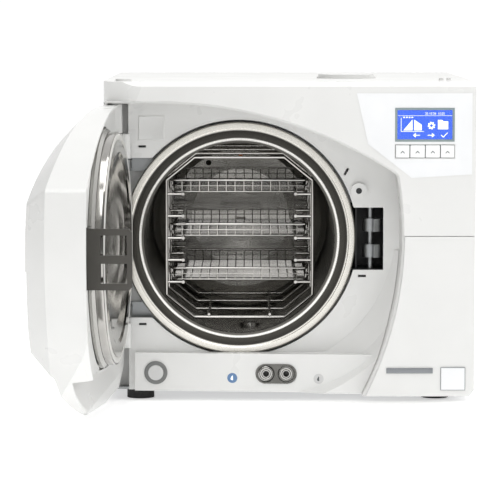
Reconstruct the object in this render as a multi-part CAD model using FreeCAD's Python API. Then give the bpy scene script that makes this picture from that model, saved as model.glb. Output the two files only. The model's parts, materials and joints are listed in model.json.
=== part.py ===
import FreeCAD, Part
import math
import os

os.makedirs("parts", exist_ok=True)

V = FreeCAD.Vector

# Cabinet, millimetres. X right, Y back, Z up, origin under the cabinet's centre on the bench.
WIDTH = 480.0
DEPTH = 540.0
HEIGHT = 420.0
FOOT_H = 14.0
SKIN = 3.0
FRONT = -DEPTH / 2.0
HALF_W = WIDTH / 2.0
SIDE_WALL = 4.5

# Pressure chamber
AXIS_X = -64.0
AXIS_Z = 214.0
CHAMBER_R = 125.0
VESSEL_WALL = 2.5
FLANGE_R = 152.0
FLANGE_D = 65.0
FLANGE_T = 15.0
CHAMBER_BACK = 415.0

# Door pocket in the front
POCKET_TOP = 392.5
FLOOR_D = 68.0
FLOOR_T = 3.0
ARC_A = (-170.0, POCKET_TOP - 565.0, 565.0)
ARC_B = (-307.8, 221.9, 453.6)
CORNER_R = 10.0
BAY_X = -209.0
HINGE_BAY_Z = (109.0, 319.0)
BULKHEAD_D = 92.0

# Door, hinged on the left
HINGE_X = -212.0
HINGE_D = 55.0
DOOR_GAP = 2.5
DOOR_SHELL = 3.5
DOOR_OPEN_DEG = 94.5
DOOR_LEFT = -220.0

# Door lock
CAM_X = 108.0
CAM_D = 84.0
CAM_R = 10.0
CAM_LOBE_R = 17.0
UPPER_CAM = (8.0, 25.0)
LOWER_CAM = (-26.0, -9.0)

# Trays and rack
WIRE = 4.0
HOOP_HALF_W = 99.0
HOOP_HALF_H = 108.7
HOOP_CORNER_Z = 78.0
RACK_FRONT = 80.0
RACK_PITCH = 104.0
RAIL_LEVELS = (57.0, 28.0, -1.0, -30.0, -59.0)
TRAY_LEVELS = (57.0, -1.0, -59.0)
TRAY_W = 182.0
TRAY_L = 286.0
TRAY_H = 17.5


def box(x0, x1, d0, d1, z0, z1):
    """Block between two corners, with d measured back from the cabinet's front face."""
    return Part.makeBox(x1 - x0, d1 - d0, z1 - z0, V(x0, FRONT + d0, z0))


def rod_y(x, z, r, d0, d1):
    """Cylinder running front to back."""
    return Part.makeCylinder(r, d1 - d0, V(x, FRONT + d0, z), V(0, 1, 0))


def rod_z(x, d, r, z0, z1):
    """Upright cylinder."""
    return Part.makeCylinder(r, z1 - z0, V(x, FRONT + d, z0), V(0, 0, 1))


def rod_x(d, z, r, x0, x1):
    """Cylinder running left to right."""
    return Part.makeCylinder(r, x1 - x0, V(x0, FRONT + d, z), V(1, 0, 0))


def tube_y(x, z, r_out, r_in, d0, d1):
    """Hollow cylinder running front to back."""
    return rod_y(x, z, r_out, d0, d1).cut(rod_y(x, z, r_in, d0 - 1, d1 + 1))


def tube_z(x, d, r_out, r_in, z0, z1):
    """Upright hollow cylinder."""
    return rod_z(x, d, r_out, z0, z1).cut(rod_z(x, d, r_in, z0 - 1, z1 + 1))


def plate_xz(points, d0, d1):
    """Upright plate with the outline given in X and Z, extruded from d0 back to d1."""
    ring = [V(x, FRONT + d0, z) for x, z in points]
    face = Part.Face(Part.makePolygon(ring + ring[:1]))
    return face.extrude(V(0, d1 - d0, 0))


def plate_dz(points, x0, x1):
    """Upright plate with the outline given in d and Z, extruded from x0 to x1."""
    ring = [V(x0, FRONT + d, z) for d, z in points]
    face = Part.Face(Part.makePolygon(ring + ring[:1]))
    return face.extrude(V(x1 - x0, 0, 0))


def spin(profile, x, z):
    """Solid of revolution about a front-to-back axis, from points of radius and d."""
    ring = [V(x + r, FRONT + d, z) for r, d in profile]
    face = Part.Face(Part.makePolygon(ring + ring[:1]))
    return face.revolve(V(x, FRONT, z), V(0, 1, 0), 360)


def fuse(shapes):
    """Join overlapping or touching shapes into one."""
    whole = shapes[0].multiFuse(shapes[1:]) if len(shapes) > 1 else shapes[0]
    return whole.removeSplitter()


def pipe(points, r, bend=0.0):
    """Round wire or pipe along straight runs, with ball joints at the corners."""
    runs = []
    for a, b in zip(points, points[1:]):
        start = V(*a)
        step = V(*b).sub(start)
        runs.append(Part.makeCylinder(r, step.Length, start, step))
    balls = [Part.makeSphere(r, V(*p)) for p in points[1:-1]]
    return fuse(runs + balls)


def meet(c1, c2):
    """Right-hand crossing of two circles given as (x, z, r)."""
    dx = c2[0] - c1[0]
    dz = c2[1] - c1[1]
    gap = math.hypot(dx, dz)
    along = (c1[2] ** 2 - c2[2] ** 2 + gap ** 2) / (2 * gap)
    high = math.sqrt(max(c1[2] ** 2 - along ** 2, 0.0))
    mx = c1[0] + along * dx / gap
    mz = c1[1] + along * dz / gap
    first = (mx + high * dz / gap, mz - high * dx / gap)
    second = (mx - high * dz / gap, mz + high * dx / gap)
    return max(first, second)


def arc_point(circle, angle):
    """Point on a circle at an angle in radians from +X towards +Z."""
    return (circle[0] + circle[2] * math.cos(angle), circle[1] + circle[2] * math.sin(angle))


def door_outline(inset, x_left, z_low, d):
    """Closed wire of the door's outline, inset by a distance, in the plane at depth d."""
    a = (ARC_A[0], ARC_A[1], ARC_A[2] - inset)
    b = (ARC_B[0], ARC_B[1], ARC_B[2] - inset)
    r = CORNER_R - inset
    y = FRONT + d

    def at(p):
        return V(p[0], y, p[1])

    top = a[1] + a[2]
    low_angle = math.asin((z_low - b[1]) / b[2])
    low = arc_point(b, low_angle)
    edges = [Part.makeLine(at((x_left, z_low)), at((x_left, top)))]
    edges.append(Part.makeLine(at((x_left, top)), at((a[0], top))))
    if r > 0.4:
        c = meet((a[0], a[1], a[2] - r), (b[0], b[1], b[2] - r))
        ang_a = math.atan2(c[1] - a[1], c[0] - a[0])
        ang_b = math.atan2(c[1] - b[1], c[0] - b[0])
        end_a = arc_point(a, ang_a)
        start_b = arc_point(b, ang_b)
        mid = arc_point((c[0], c[1], r), (ang_a + ang_b) / 2)
        edges.append(Part.Arc(at((a[0], top)), at(arc_point(a, (ang_a + math.pi / 2) / 2)),
                              at(end_a)).toShape())
        edges.append(Part.Arc(at(end_a), at(mid), at(start_b)).toShape())
    else:
        start_b = meet(a, b)
        ang_a = math.atan2(start_b[1] - a[1], start_b[0] - a[0])
        ang_b = math.atan2(start_b[1] - b[1], start_b[0] - b[0])
        edges.append(Part.Arc(at((a[0], top)), at(arc_point(a, (ang_a + math.pi / 2) / 2)),
                              at(start_b)).toShape())
    edges.append(Part.Arc(at(start_b), at(arc_point(b, (ang_b + low_angle) / 2)), at(low)).toShape())
    edges.append(Part.makeLine(at(low), at((x_left, z_low))))
    return Part.Wire(edges)


def door_prism(inset, x_left, z_low, d0, d1):
    """Prism on the door's outline."""
    prism = Part.Face(door_outline(inset, min(x_left, -200.0), z_low, d0)).extrude(V(0, d1 - d0, 0))
    if x_left > -200.0:
        prism = prism.common(box(x_left, 300, d0 - 1, d1 + 1, -100, 600))
    return prism


def export(name, shape):
    """Write one named sub-part."""
    solids = shape.Solids if hasattr(shape, "Solids") else []
    if not solids:
        raise ValueError("no solid in " + name)
    for s in solids:
        if not s.isValid() or s.Volume < 1.0:
            print("CHECK", name, s.isValid(), round(s.Volume, 2))
    out = solids[0] if len(solids) == 1 else Part.makeCompound(solids)
    out.exportStep("parts/" + name + ".step")
    print(name, len(solids), "solids", round(sum(s.Volume for s in solids) / 1000.0, 1), "cm3")


def group(solids):
    """Several separate solids under one name."""
    return Part.makeCompound(solids)


def plan_prism(inset, z0, z1, back):
    """Cabinet front block seen from above, with the rounded left corner."""
    r = 50.0 - inset
    x0 = -HALF_W + inset
    x1 = HALF_W - inset
    y0 = FRONT + inset
    y1 = FRONT + back
    mid = V(x0 + r - r * math.sqrt(0.5), y0 + r - r * math.sqrt(0.5), z0)
    edges = [
        Part.Arc(V(x0, y0 + r, z0), mid, V(x0 + r, y0, z0)).toShape(),
        Part.makeLine(V(x0 + r, y0, z0), V(x1, y0, z0)),
        Part.makeLine(V(x1, y0, z0), V(x1, y1, z0)),
        Part.makeLine(V(x1, y1, z0), V(x0, y1, z0)),
        Part.makeLine(V(x0, y1, z0), V(x0, y0 + r, z0)),
    ]
    return Part.Face(Part.Wire(edges)).extrude(V(0, 0, z1 - z0))


def slope_cone(grow):
    """Cone that shapes the pocket's lower right slope and the matching door edge."""
    x = -44.0
    z = 224.0
    return spin([(0, 90), (155.4 + grow, 90), (213 + grow, 46), (228 + grow, 25), (264 + grow, -25), (0, -25)], x, z)


def latch_hole(grow, d0, d1):
    """Opening the lock bracket enters."""
    return box(84 - grow, 124.7 + grow, d0, d1, AXIS_Z - 42 - grow, AXIS_Z + 40 + grow)


def make_fascia():
    """Front moulding with the door pocket."""
    shell = plan_prism(0, FOOT_H, HEIGHT, 60).cut(plan_prism(SKIN, FOOT_H + SKIN, HEIGHT - SKIN, 62))
    shell = shell.cut(plate_dz([(-1, HEIGHT - 7), (-1, HEIGHT + 1), (7, HEIGHT + 1)], -260, 260))
    liner = plate_dz([(1.5, HEIGHT - 9.5), (1.5, HEIGHT - 5), (5.5, HEIGHT - 1.5), (10, HEIGHT - 1.5)],
                     -186, 238)
    shell = fuse([shell, liner])
    shell = shell.cut(door_prism(0, -260, 0, -1, 44))
    shell = shell.cut(door_prism(0, -HALF_W + SIDE_WALL, 0, 43, 62))
    wall = door_prism(-3.0, -HALF_W + 0.5, FOOT_H, 0, 71).cut(door_prism(0, -260, 0, -1, 72))
    wall = wall.cut(box(-260, -HALF_W + SIDE_WALL, -1, 44, 0, 500))
    edge = door_prism(4.0, -300, -20, -1, 3).cut(door_prism(0, -300, -20, -2, 4))
    floor = door_prism(0, -HALF_W + 0.5, FOOT_H, FLOOR_D, FLOOR_D + FLOOR_T)
    floor = floor.cut(rod_y(AXIS_X, AXIS_Z, 155, 60, 80))
    floor = floor.cut(box(-260, BAY_X, 60, 80, 0, 390))
    floor = floor.cut(box(-260, -150, 60, 80, *HINGE_BAY_Z))
    floor = floor.cut(latch_hole(0, 60, 80))
    for x, z in SLOTS:
        floor = floor.cut(box(x - 5.2, x + 5.2, 60, 80, z - 1.6, z + 1.6))
    tilted = box(76 - 1.6, 76 + 1.6, 60, 80, 301 - 5.2, 301 + 5.2)
    tilted.rotate(V(76, 0, 301), V(0, 1, 0), 30)
    floor = floor.cut(tilted)
    floor = floor.cut(rod_y(BOSS[0], BOSS[1], 9.0, 60, 80))
    side = box(-HALF_W, -HALF_W + SIDE_WALL, 44, 71, FOOT_H, POCKET_TOP + 3)
    body = fuse([shell, wall, floor, side])
    body = body.cut(edge_bevel())
    return body.cut(box(190, 260, -1, 90, 0, SEAM_Z)).cut(box(96, 260, -1, 90, 0,
                                                              SEAM_Z).cut(door_prism(-3.0, -260, 0, -2, 95)))


def edge_bevel():
    """Small bevel round the pocket's front edge."""
    wires = [door_outline(-3.2, -262, -4, -0.5), door_outline(0.3, -262, -4, 3.4)]
    return Part.makeLoft(wires, True, True)


def make_lower_cover():
    """Lower right front cover, under the control housing."""
    block = plan_prism(0.4, FOOT_H, SEAM_Z - 0.8, 60).cut(plan_prism(SKIN + 0.4, FOOT_H + SKIN,
                                                                     SEAM_Z - 0.8 - SKIN, 62))
    block = block.common(box(60, 241, -1, 61, 0, 300))
    block = block.cut(door_prism(-3.4, -260, 0, -2, 72))
    corner = plate_xz([(232, FOOT_H - 1), (241, FOOT_H - 1), (241, FOOT_H + 10)], -2, 62)
    return block.cut(corner)


def make_drain_panel():
    """Recessed lower front panel with its ledge and the broad slope on the right."""
    outer = plate_xy([(-201, 57), (100, 33), (146, 33), (146, FLOOR_D - 0.3), (-201, FLOOR_D - 0.3)],
                     FOOT_H, 64)
    inner = plate_xy([(-198, 60), (97, 36.2), (150, 36.2), (150, 90), (-198, 90)], FOOT_H + 3, 61)
    panel = outer.cut(inner)
    panel = panel.common(door_prism(0.5, -260, 0, 20, 75))
    slope = door_prism(0.5, 0, FOOT_H, 25, FLOOR_D - 0.3).cut(slope_cone(0)).common(box(0, 150, 20, 70,
                                                                                        FOOT_H, 198))
    core = door_prism(4.0, -20, FOOT_H + 3, 29, FLOOR_D + 1).cut(slope_cone(4.5)).common(box(-20, 150, 20,
                                                                                             70, FOOT_H + 3, 194))
    slope = slope.cut(core)
    body = fuse([panel.cut(slope_cone_outside()), slope])
    for x, z, r in DRAIN_HOLES:
        body = body.cut(rod_y(x, z, r, 20, 72))
    return body.cut(rod_y(AXIS_X, AXIS_Z, FLANGE_R + 0.8, FLANGE_D - 1.0, 80))


def slope_cone_outside():
    """Region the slope's hollow takes out of the drain panel."""
    return box(92, 150, 20, 75, FOOT_H - 1, 70).common(door_prism(0.4, 20, FOOT_H - 2, 25,
                                                                  FLOOR_D).cut(slope_cone(0)))


def plate_xy(points, z0, z1):
    """Flat block with the outline given in X and d."""
    ring = [V(x, FRONT + d, z0) for x, d in points]
    face = Part.Face(Part.makePolygon(ring + ring[:1]))
    return face.extrude(V(0, 0, z1 - z0))


def panel_face(x):
    """Depth of the drain panel's front face at a given X."""
    return 57 - (x + 201) * 24.0 / 301.0


SEAM_Z = 222.0
SLOTS = ((-191.0, 334.0), (-191.0, 100.5), (97.0, 164.0), (-66.0, 47.5))
BOSS = (92.5, 276.0)
BUTTON = (-173.5, 38.0)
PORTS = ((-29.0, 38.0), (-2.8, 38.0))
DRAIN_HOLES = ((-173.5, 38.0, 13.8), (-29.0, 38.0, 11.2), (-2.8, 38.0, 11.2))


def make_cover():
    """Wrap-round cabinet cover, top and both sides, with the filler neck."""
    outer = box(-HALF_W, HALF_W, 60.3, DEPTH - 4, FOOT_H + 3.3, HEIGHT)
    inner = box(-HALF_W + SKIN, HALF_W - SKIN, 59, DEPTH, FOOT_H, HEIGHT - SKIN)
    cover = outer.cut(inner).cut(box(-241, -235, 59, 71.3, 0, POCKET_TOP + 3.3))
    neck = tube_z(80, 200, 40, 36, HEIGHT - 12, HEIGHT + 2)
    cover = cover.cut(rod_z(80, 200, 36, HEIGHT - 20, HEIGHT + 5))
    blanks = [rod_z(200, 80, 3, HEIGHT - 1, HEIGHT + 3), rod_z(210, 80, 3, HEIGHT - 1, HEIGHT + 3)]
    return fuse([cover, neck] + blanks)


def make_base():
    """Base pan with upturned sides."""
    pan = box(-232, 232, 71.5, DEPTH - 6, FOOT_H, FOOT_H + 3)
    left = box(-236.7, -232, 71.5, DEPTH - 6, FOOT_H, FOOT_H + 18)
    right = box(232, 236.7, 71.5, DEPTH - 6, FOOT_H, FOOT_H + 18)
    return fuse([pan, left, right])


def make_bulkhead():
    """Steel bulkhead behind the fascia that holds the chamber, hinge and lock."""
    plate = box(-231.8, 200, BULKHEAD_D, BULKHEAD_D + 2.5, FOOT_H + 3, 400)
    plate = plate.cut(rod_y(AXIS_X, AXIS_Z, 129, 80, 110))
    return plate.cut(box(82, 130, 80, 110, AXIS_Z - 96, AXIS_Z + 45))


def make_rear():
    """Rear panel with openings for the fan, the inlet and the safety valve."""
    plate = box(-HALF_W, HALF_W, DEPTH - 3.7, DEPTH - 1.2, FOOT_H + 0.3, HEIGHT)
    plate = plate.cut(rod_y(FAN[0], FAN[1], 56, DEPTH - 10, DEPTH + 5))
    plate = plate.cut(rod_y(60, 300, 6.05, DEPTH - 10, DEPTH + 5))
    plate = plate.cut(box(INLET[0] - 14, INLET[0] + 14, DEPTH - 10, DEPTH + 5, INLET[1] - 10, INLET[1] + 10))
    for i in range(9):
        x = -150 + i * 14
        plate = plate.cut(box(x, x + 6, DEPTH - 10, DEPTH + 5, 330, 380))
    return plate


FAN = (-110.0, 110.0)
INLET = (170.0, 60.0)


def make_chamber():
    """Drawn steel vessel with a dished end and three rear ports."""
    r = CHAMBER_R
    w = VESSEL_WALL
    profile = [(r, FLANGE_D + FLANGE_T), (r + w, FLANGE_D + FLANGE_T), (r + w, CHAMBER_BACK)]
    dish = [(118, 427), (100, 436), (70, 443), (35, 447), (0, 448)]
    profile += dish
    profile += [(0, 448 - w), (35, 447 - w), (70, 443 - w), (99, 436 - w), (116, 427 - w), (r, CHAMBER_BACK - 1)]
    vessel = spin(profile, AXIS_X, AXIS_Z)
    for dx, dz, hole in ((-45.4, 78.7, 4), (0.5, 90.8, 3), (-90, 0.7, 3)):
        vessel = vessel.cut(rod_y(AXIS_X + dx, AXIS_Z + dz, hole, 400, 460))
    return vessel


def make_flange():
    """Machined mouth flange with a thin raised inner lip."""
    r = FLANGE_R
    i = CHAMBER_R
    f = FLANGE_D
    return spin([(i, f), (i + 6, f), (i + 7, f + 0.8), (r - 9, f + 0.8), (r - 8, f), (r - 1.5, f), (r, f + 1.5),
                 (r, f + FLANGE_T), (i, f + FLANGE_T)], AXIS_X, AXIS_Z)


def make_strainer():
    """Round drain strainer in the chamber floor near the mouth."""
    z = AXIS_Z - CHAMBER_R
    disc = rod_z(AXIS_X + 14, 150, 13, z + 0.9, z + 5).cut(rod_z(AXIS_X + 14, 150, 10, z + 3.4, z + 6))
    for k in range(8):
        a = k * math.pi / 4
        disc = disc.cut(rod_z(AXIS_X + 14 + 6.5 * math.cos(a), 150 + 6.5 * math.sin(a), 1.4, z - 1, z + 6))
    return disc.cut(rod_y(AXIS_X, AXIS_Z, 180, 100, 200).cut(rod_y(AXIS_X, AXIS_Z, CHAMBER_R, 99, 201)))


def make_heater():
    """Three band heaters clamped round the vessel."""
    r = CHAMBER_R + VESSEL_WALL
    bands = [tube_y(AXIS_X, AXIS_Z, r + 1.0, r, d, d + 38) for d in (112, 205, 298)]
    return group(bands)


def make_insulation():
    """Insulating jacket round the vessel and heaters."""
    return tube_y(AXIS_X, AXIS_Z, 143, CHAMBER_R + VESSEL_WALL + 1.2, 100, 400)


def make_lock_housing():
    """Black box behind the latch opening with a bearing for the cam shaft."""
    z0 = AXIS_Z - 43
    z1 = AXIS_Z + 43
    shell = box(84, 128, 71.3, 135, z0, z1).cut(box(84 - 1, 126, 68, 132, z0 + 2, z1 - 2))
    wall = box(88.5, 90.5, 84, 135, z0, z1)
    shell = fuse([shell, wall])
    shell = shell.cut(rod_y(AXIS_X, AXIS_Z, FLANGE_R + 1, 60, 82))
    return shell.cut(rod_z(CAM_X, CAM_D, 4.05, z0 - 1, z1 + 1))


def lobe(z0, z1):
    """Lock cam, a round hub with one lobe pointing towards the right of the door opening."""
    hub = rod_z(CAM_X, CAM_D, CAM_R, z0, z1)
    wedge_points = [(CAM_X, CAM_D)]
    for k in range(9):
        a = math.radians(-45 - 32 + 8 * k)
        wedge_points.append((CAM_X + CAM_LOBE_R * math.cos(a), CAM_D + CAM_LOBE_R * math.sin(a)))
    return fuse([hub, plate_xy(wedge_points, z0, z1)])


def make_lock_rotor():
    """Vertical shaft with two cams."""
    shaft = rod_z(CAM_X, CAM_D, 4.0, AXIS_Z - 52, AXIS_Z + 42.6)
    upper = lobe(AXIS_Z + UPPER_CAM[0], AXIS_Z + UPPER_CAM[1])
    lower = lobe(AXIS_Z + LOWER_CAM[0], AXIS_Z + LOWER_CAM[1])
    return fuse([shaft, upper, lower])


def make_lock_motor():
    """Geared motor under the lock housing."""
    z1 = AXIS_Z - 43
    frame = box(92, 127, 72, 112, z1 - 3, z1).cut(rod_z(CAM_X, CAM_D, 6, z1 - 4, z1 + 1))
    can = rod_z(CAM_X, CAM_D, 12, z1 - 48, z1 - 11)
    posts = [rod_z(x, d, 2.5, z1 - 11.5, z1 - 3) for x, d in ((100, 78), (116, 78), (100, 90), (116, 90))]
    return fuse([frame, can] + posts)


def make_hinge_bracket():
    """Two welded arms that reach the hinge axis from the bulkhead."""
    arms = []
    for z0 in (305, 112):
        arm = box(HINGE_X - 7, HINGE_X + 7, HINGE_D, BULKHEAD_D, z0, z0 + 12)
        eye = rod_z(HINGE_X, HINGE_D, 7, z0, z0 + 12)
        foot = box(HINGE_X - 12, HINGE_X + 34, BULKHEAD_D - 4, BULKHEAD_D, z0 - 4, z0 + 16)
        arms.append(fuse([arm, eye, foot]).cut(rod_z(HINGE_X, HINGE_D, 3, z0 - 1, z0 + 13)))
    return group(arms)


def make_hinge_pins():
    """Hinge pins pressed into the arms."""
    return group([rod_z(HINGE_X, HINGE_D, 3, 305, 351), rod_z(HINGE_X, HINGE_D, 3, 73, 124)])


def make_steam_generator():
    """Heated steam block low at the back right."""
    body = rod_z(178, 420, 42, 60, 168)
    caps = [rod_z(178, 420, 46, 54, 60), rod_z(178, 420, 46, 168, 174)]
    legs = [rod_z(178 + 36 * math.cos(a), 420 + 36 * math.sin(a), 3, FOOT_H + 3, 54)
            for a in (0.5, 2.6, 4.7)]
    return fuse([body] + caps + legs)


def make_vacuum_pump():
    """Twin-head diaphragm vacuum pump."""
    base = box(60, 130, 350, 470, FOOT_H + 3, 25)
    motor = rod_y(95, 60, 30, 365, 440)
    head = box(68, 122, 440, 470, 36, 92)
    saddle = box(75, 115, 370, 435, 25, 34)
    return fuse([base, motor, head, saddle])


def make_water_pump():
    """Small feed water pump."""
    body = rod_y(160, 44, 20, 250, 300)
    foot = box(142, 178, 255, 295, FOOT_H + 3, 28)
    head = rod_y(160, 44, 15, 240, 250)
    return fuse([body, foot, head])


def tank(x0, x1, d0, d1, z0, z1, w):
    """Closed moulded tank."""
    return box(x0, x1, d0, d1, z0, z1).cut(box(x0 + w, x1 - w, d0 + w, d1 - w, z0 + w, z1 - w))


def make_clean_tank():
    """Clean water tank over the electronics, open to its filler neck."""
    body = tank(20, 228, 120, 300, 365, 405, 2.5)
    body = body.cut(rod_z(80, 200, 33, 400, 410))
    neck = tube_z(80, 200, 35.5, 33, 404.9, HEIGHT - 3)
    return fuse([body, neck]).cut(rod_z(80, 200, 33, 403, HEIGHT + 1))


def make_used_tank():
    """Used water tank at the upper left."""
    return tank(-225, -25, 260, 460, 366, 408, 2.5)


def make_condenser():
    """Finned condenser beside the fan."""
    fins = [box(-205, -60, 455 + i * 6, 456.2 + i * 6, 35, 165) for i in range(5)]
    tubes = [rod_y(-190 + i * 26, 60 + (i % 2) * 75, 4, 450, 485) for i in range(5)]
    return fuse(fins + tubes)


def make_fan_housing():
    """Square axial fan frame on the rear panel."""
    x, z = FAN
    frame = box(x - 60, x + 60, DEPTH - 28.7, DEPTH - 3.7, z - 60, z + 60).cut(rod_y(x, z, 56, DEPTH - 40,
                                                                                     DEPTH))
    hub = rod_y(x, z, 16, DEPTH - 9, DEPTH - 3.7).cut(rod_y(x, z, 2.05, DEPTH - 10, DEPTH))
    arms = [box(x + 14, x + 58, DEPTH - 9, DEPTH - 5, z - 2, z + 2)]
    for k in (1, 2, 3):
        arm = arms[0].copy()
        arm.rotate(V(x, 0, z), V(0, 1, 0), 90 * k)
        arms.append(arm)
    body = fuse([frame, hub] + arms)
    return body.cut(rod_y(x, z, 2.05, DEPTH - 12, DEPTH))


def make_fan_rotor():
    """Fan hub with seven blades and its shaft."""
    x, z = FAN
    parts = [rod_y(x, z, 18, DEPTH - 27, DEPTH - 11), rod_y(x, z, 2.0, DEPTH - 12, DEPTH - 4)]
    for k in range(7):
        blade = Part.makeBox(37, 1.6, 22, V(x + 16, FRONT + DEPTH - 20, z - 11))
        blade.rotate(V(x, FRONT + DEPTH - 19.2, z), V(1, 0, 0), 30)
        blade.rotate(V(x, 0, z), V(0, 1, 0), 360.0 / 7 * k)
        parts.append(blade)
    return fuse(parts)


def make_grille():
    """Finger guard over the rear fan."""
    x, z = FAN
    rings = [tube_y(x, z, r, r - 1.6, DEPTH - 1.2, DEPTH + 0.8) for r in (58, 46, 34, 22, 10)]
    bars = [box(x - 58, x + 58, DEPTH - 1.2, DEPTH + 0.8, z - 1, z + 1)]
    bars.append(box(x - 1, x + 1, DEPTH - 1.2, DEPTH + 0.8, z - 58, z + 58))
    return fuse(rings + bars)


def make_inlet():
    """Three-pin mains inlet with a recess for the cord's connector."""
    x, z = INLET
    body = box(x - 13.9, x + 13.9, DEPTH - 22, DEPTH + 1, z - 9.9, z + 9.9)
    rim = box(x - 17, x + 17, DEPTH - 1.2, DEPTH + 1, z - 13, z + 13)
    body = fuse([body, rim]).cut(box(x - 12, x + 12, DEPTH - 17, DEPTH + 2, z - 8, z + 8))
    pins = [box(x + dx - 1, x + dx + 1, DEPTH - 22, DEPTH - 2, z + dz - 2, z + dz + 2)
            for dx, dz in ((-7, -2), (7, -2), (0, 2.5))]
    return fuse([body] + pins)


def make_board(x0, x1, d0, d1, z, parts):
    """Circuit board with block components and standoffs below."""
    body = [box(x0, x1, d0, d1, z, z + 1.6)]
    for cx, cd, w, l, h in parts:
        body.append(box(cx - w / 2, cx + w / 2, cd - l / 2, cd + l / 2, z + 1.6, z + 1.6 + h))
    return fuse(body)


def make_front_board():
    """Control board behind the display and keys."""
    pcb = box(134, 222, 22, 23.6, 316, 404)
    chips = [box(138, 156, 23.6, 29, 330, 350), box(160, 200, 23.6, 31, 360, 390)]
    posts = [rod_y(x, z, 3, 3, 22) for x, z in ((150, 319), (218, 319), (218, 400), (140, 400))]
    pads = [box(KEY_X[i] + 5, KEY_X[i + 1] - 5, 7.2, 22, 327, 335) for i in range(4)]
    return fuse([pcb] + chips + posts + pads)


def make_valves():
    """Valve block with four solenoids."""
    block = box(95, 205, 200, 225, 215, 240)
    coils = [box(100 + i * 27, 118 + i * 27, 203, 222, 240, 275) for i in range(4)]
    foot = box(110, 190, 205, 220, 190, 215)
    return fuse([block, foot] + coils)


def make_pipes():
    """Copper and steam lines between the chamber, valves, pumps and generator."""
    y = FRONT
    rear = y + 448 + 8
    top = pipe([(AXIS_X + 0.5, y + 436, AXIS_Z + 90.8), (AXIS_X + 0.5, rear + 20, AXIS_Z + 90.8),
                (150, rear + 20, AXIS_Z + 90.8), (150, y + 420, AXIS_Z + 90.8), (150, y + 420, 174)], 3.0)
    feed = pipe([(160, y + 300, 44), (160, y + 330, 44), (178, y + 330, 44), (178, y + 330, 100),
                 (178, y + 378, 100)], 3.0)
    return group([top, feed])


def make_safety_valve():
    """Spring safety valve that pokes out at the rear."""
    x = 60.0
    z = 300.0
    parts = [rod_y(x, z, 9, 500, DEPTH - 3.7), rod_y(x, z, 6, DEPTH - 3.7, DEPTH + 14),
             rod_y(x, z, 9, DEPTH + 14, DEPTH + 20)]
    return fuse(parts)


def dome(drop):
    """Large barrel-shaped solid whose front is the door's outer surface, lowered by drop."""
    pts = [(-233.0, 50.0 + drop), (-66.0, -4.0 + drop), (120.0, -27.0 + drop)]
    a, b, c = [V(x, FRONT + d, 200.0) for x, d in pts]
    curve = Part.Arc(a, b, c).toShape()
    far = FRONT + 1500.0
    edges = [
        curve,
        Part.makeLine(c, V(170.0, c.y - 1.5, 200.0)),
        Part.makeLine(V(170.0, c.y - 1.5, 200.0), V(170.0, far, 200.0)),
        Part.makeLine(V(170.0, far, 200.0), V(-233.0, far, 200.0)),
        Part.makeLine(V(-233.0, far, 200.0), a),
    ]
    return Part.Face(Part.Wire(edges)).revolve(V(0, far, 200.0), V(1, 0, 0), 360)


def grip_cut(drop):
    """Prism that leaves the slanting skirt and its bevel at the door's foot."""
    n = drop
    lean = 0.108
    profile = [(48.4 - n, 71.8 + n * 0.6), (110, 124.4 + n * 0.6), (240, 124.4), (240, -40), (21 - n, -40)]
    ring = [V(140.0, FRONT + HINGE_D - v, z) for v, z in profile]
    face = Part.Face(Part.makePolygon(ring + ring[:1]))
    far = face.extrude(V(-420.0, 420.0 * lean, 0))
    near = face.extrude(V(60.0, -60.0 * lean, 0))
    return fuse([far, near])


def bevel_body(inset, drop):
    """Flared block whose sloping sides cut the bevel round the door's outer face."""
    rim_d = HINGE_D - 54.5 + drop
    tilt = 0.1
    ref_x = HINGE_X + 355.0
    wires = []
    for step in (45.0, -75.0):
        wire = flare_outline(inset + step, rim_d - step)
        lean = FreeCAD.Matrix()
        lean.A21 = -tilt
        lean.A24 = tilt * ref_x
        wires.append(wire.transformGeometry(lean))
    return Part.makeLoft(wires, True, True)


def flare_outline(inset, d):
    """Door outline with an arc for the corner at any inset, carried far past the hinge and the foot."""
    a = (ARC_A[0], ARC_A[1], ARC_A[2] - inset)
    b = (ARC_B[0], ARC_B[1], ARC_B[2] - inset)
    r = 9.0
    y = FRONT + d
    top = a[1] + a[2]
    c = meet((a[0], a[1], a[2] - r), (b[0], b[1], b[2] - r))
    ang_a = math.atan2(c[1] - a[1], c[0] - a[0])
    ang_b = math.atan2(c[1] - b[1], c[0] - b[0])
    low_angle = math.asin((-60.0 - b[1]) / b[2])
    pts = [(-300.0, -60.0), (-300.0, top), (a[0], top)]
    p = [V(x, y, z) for x, z in pts]
    end_a = V(*[arc_point(a, ang_a)[0], y, arc_point(a, ang_a)[1]])
    start_b = V(*[arc_point(b, ang_b)[0], y, arc_point(b, ang_b)[1]])
    mid_a = arc_point(a, (ang_a + math.pi / 2) / 2)
    mid_c = arc_point((c[0], c[1], r), (ang_a + ang_b) / 2)
    mid_b = arc_point(b, (ang_b + low_angle) / 2)
    low = arc_point(b, low_angle)
    return Part.Wire([
        Part.makeLine(p[0], p[1]),
        Part.makeLine(p[1], p[2]),
        Part.Arc(p[2], V(mid_a[0], y, mid_a[1]), end_a).toShape(),
        Part.Arc(end_a, V(mid_c[0], y, mid_c[1]), start_b).toShape(),
        Part.Arc(start_b, V(mid_b[0], y, mid_b[1]), V(low[0], y, low[1])).toShape(),
        Part.makeLine(V(low[0], y, low[1]), p[0]),
    ])


def door_body(inset, drop, back_v, low_z):
    """Solid door blank between its back plane and the outer surface."""
    blank = door_prism(inset, DOOR_LEFT + drop * 0.7, low_z, -45, HINGE_D - back_v)
    blank = blank.common(dome(drop))
    blank = blank.common(bevel_body(inset, drop))
    blank = blank.cut(grip_cut(drop))
    blank = blank.cut(box(30, 160, -60, 90, 0, 200).cut(slope_cone(-3.0 - drop)))
    return max(blank.Solids, key=lambda s: s.Volume)


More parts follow.
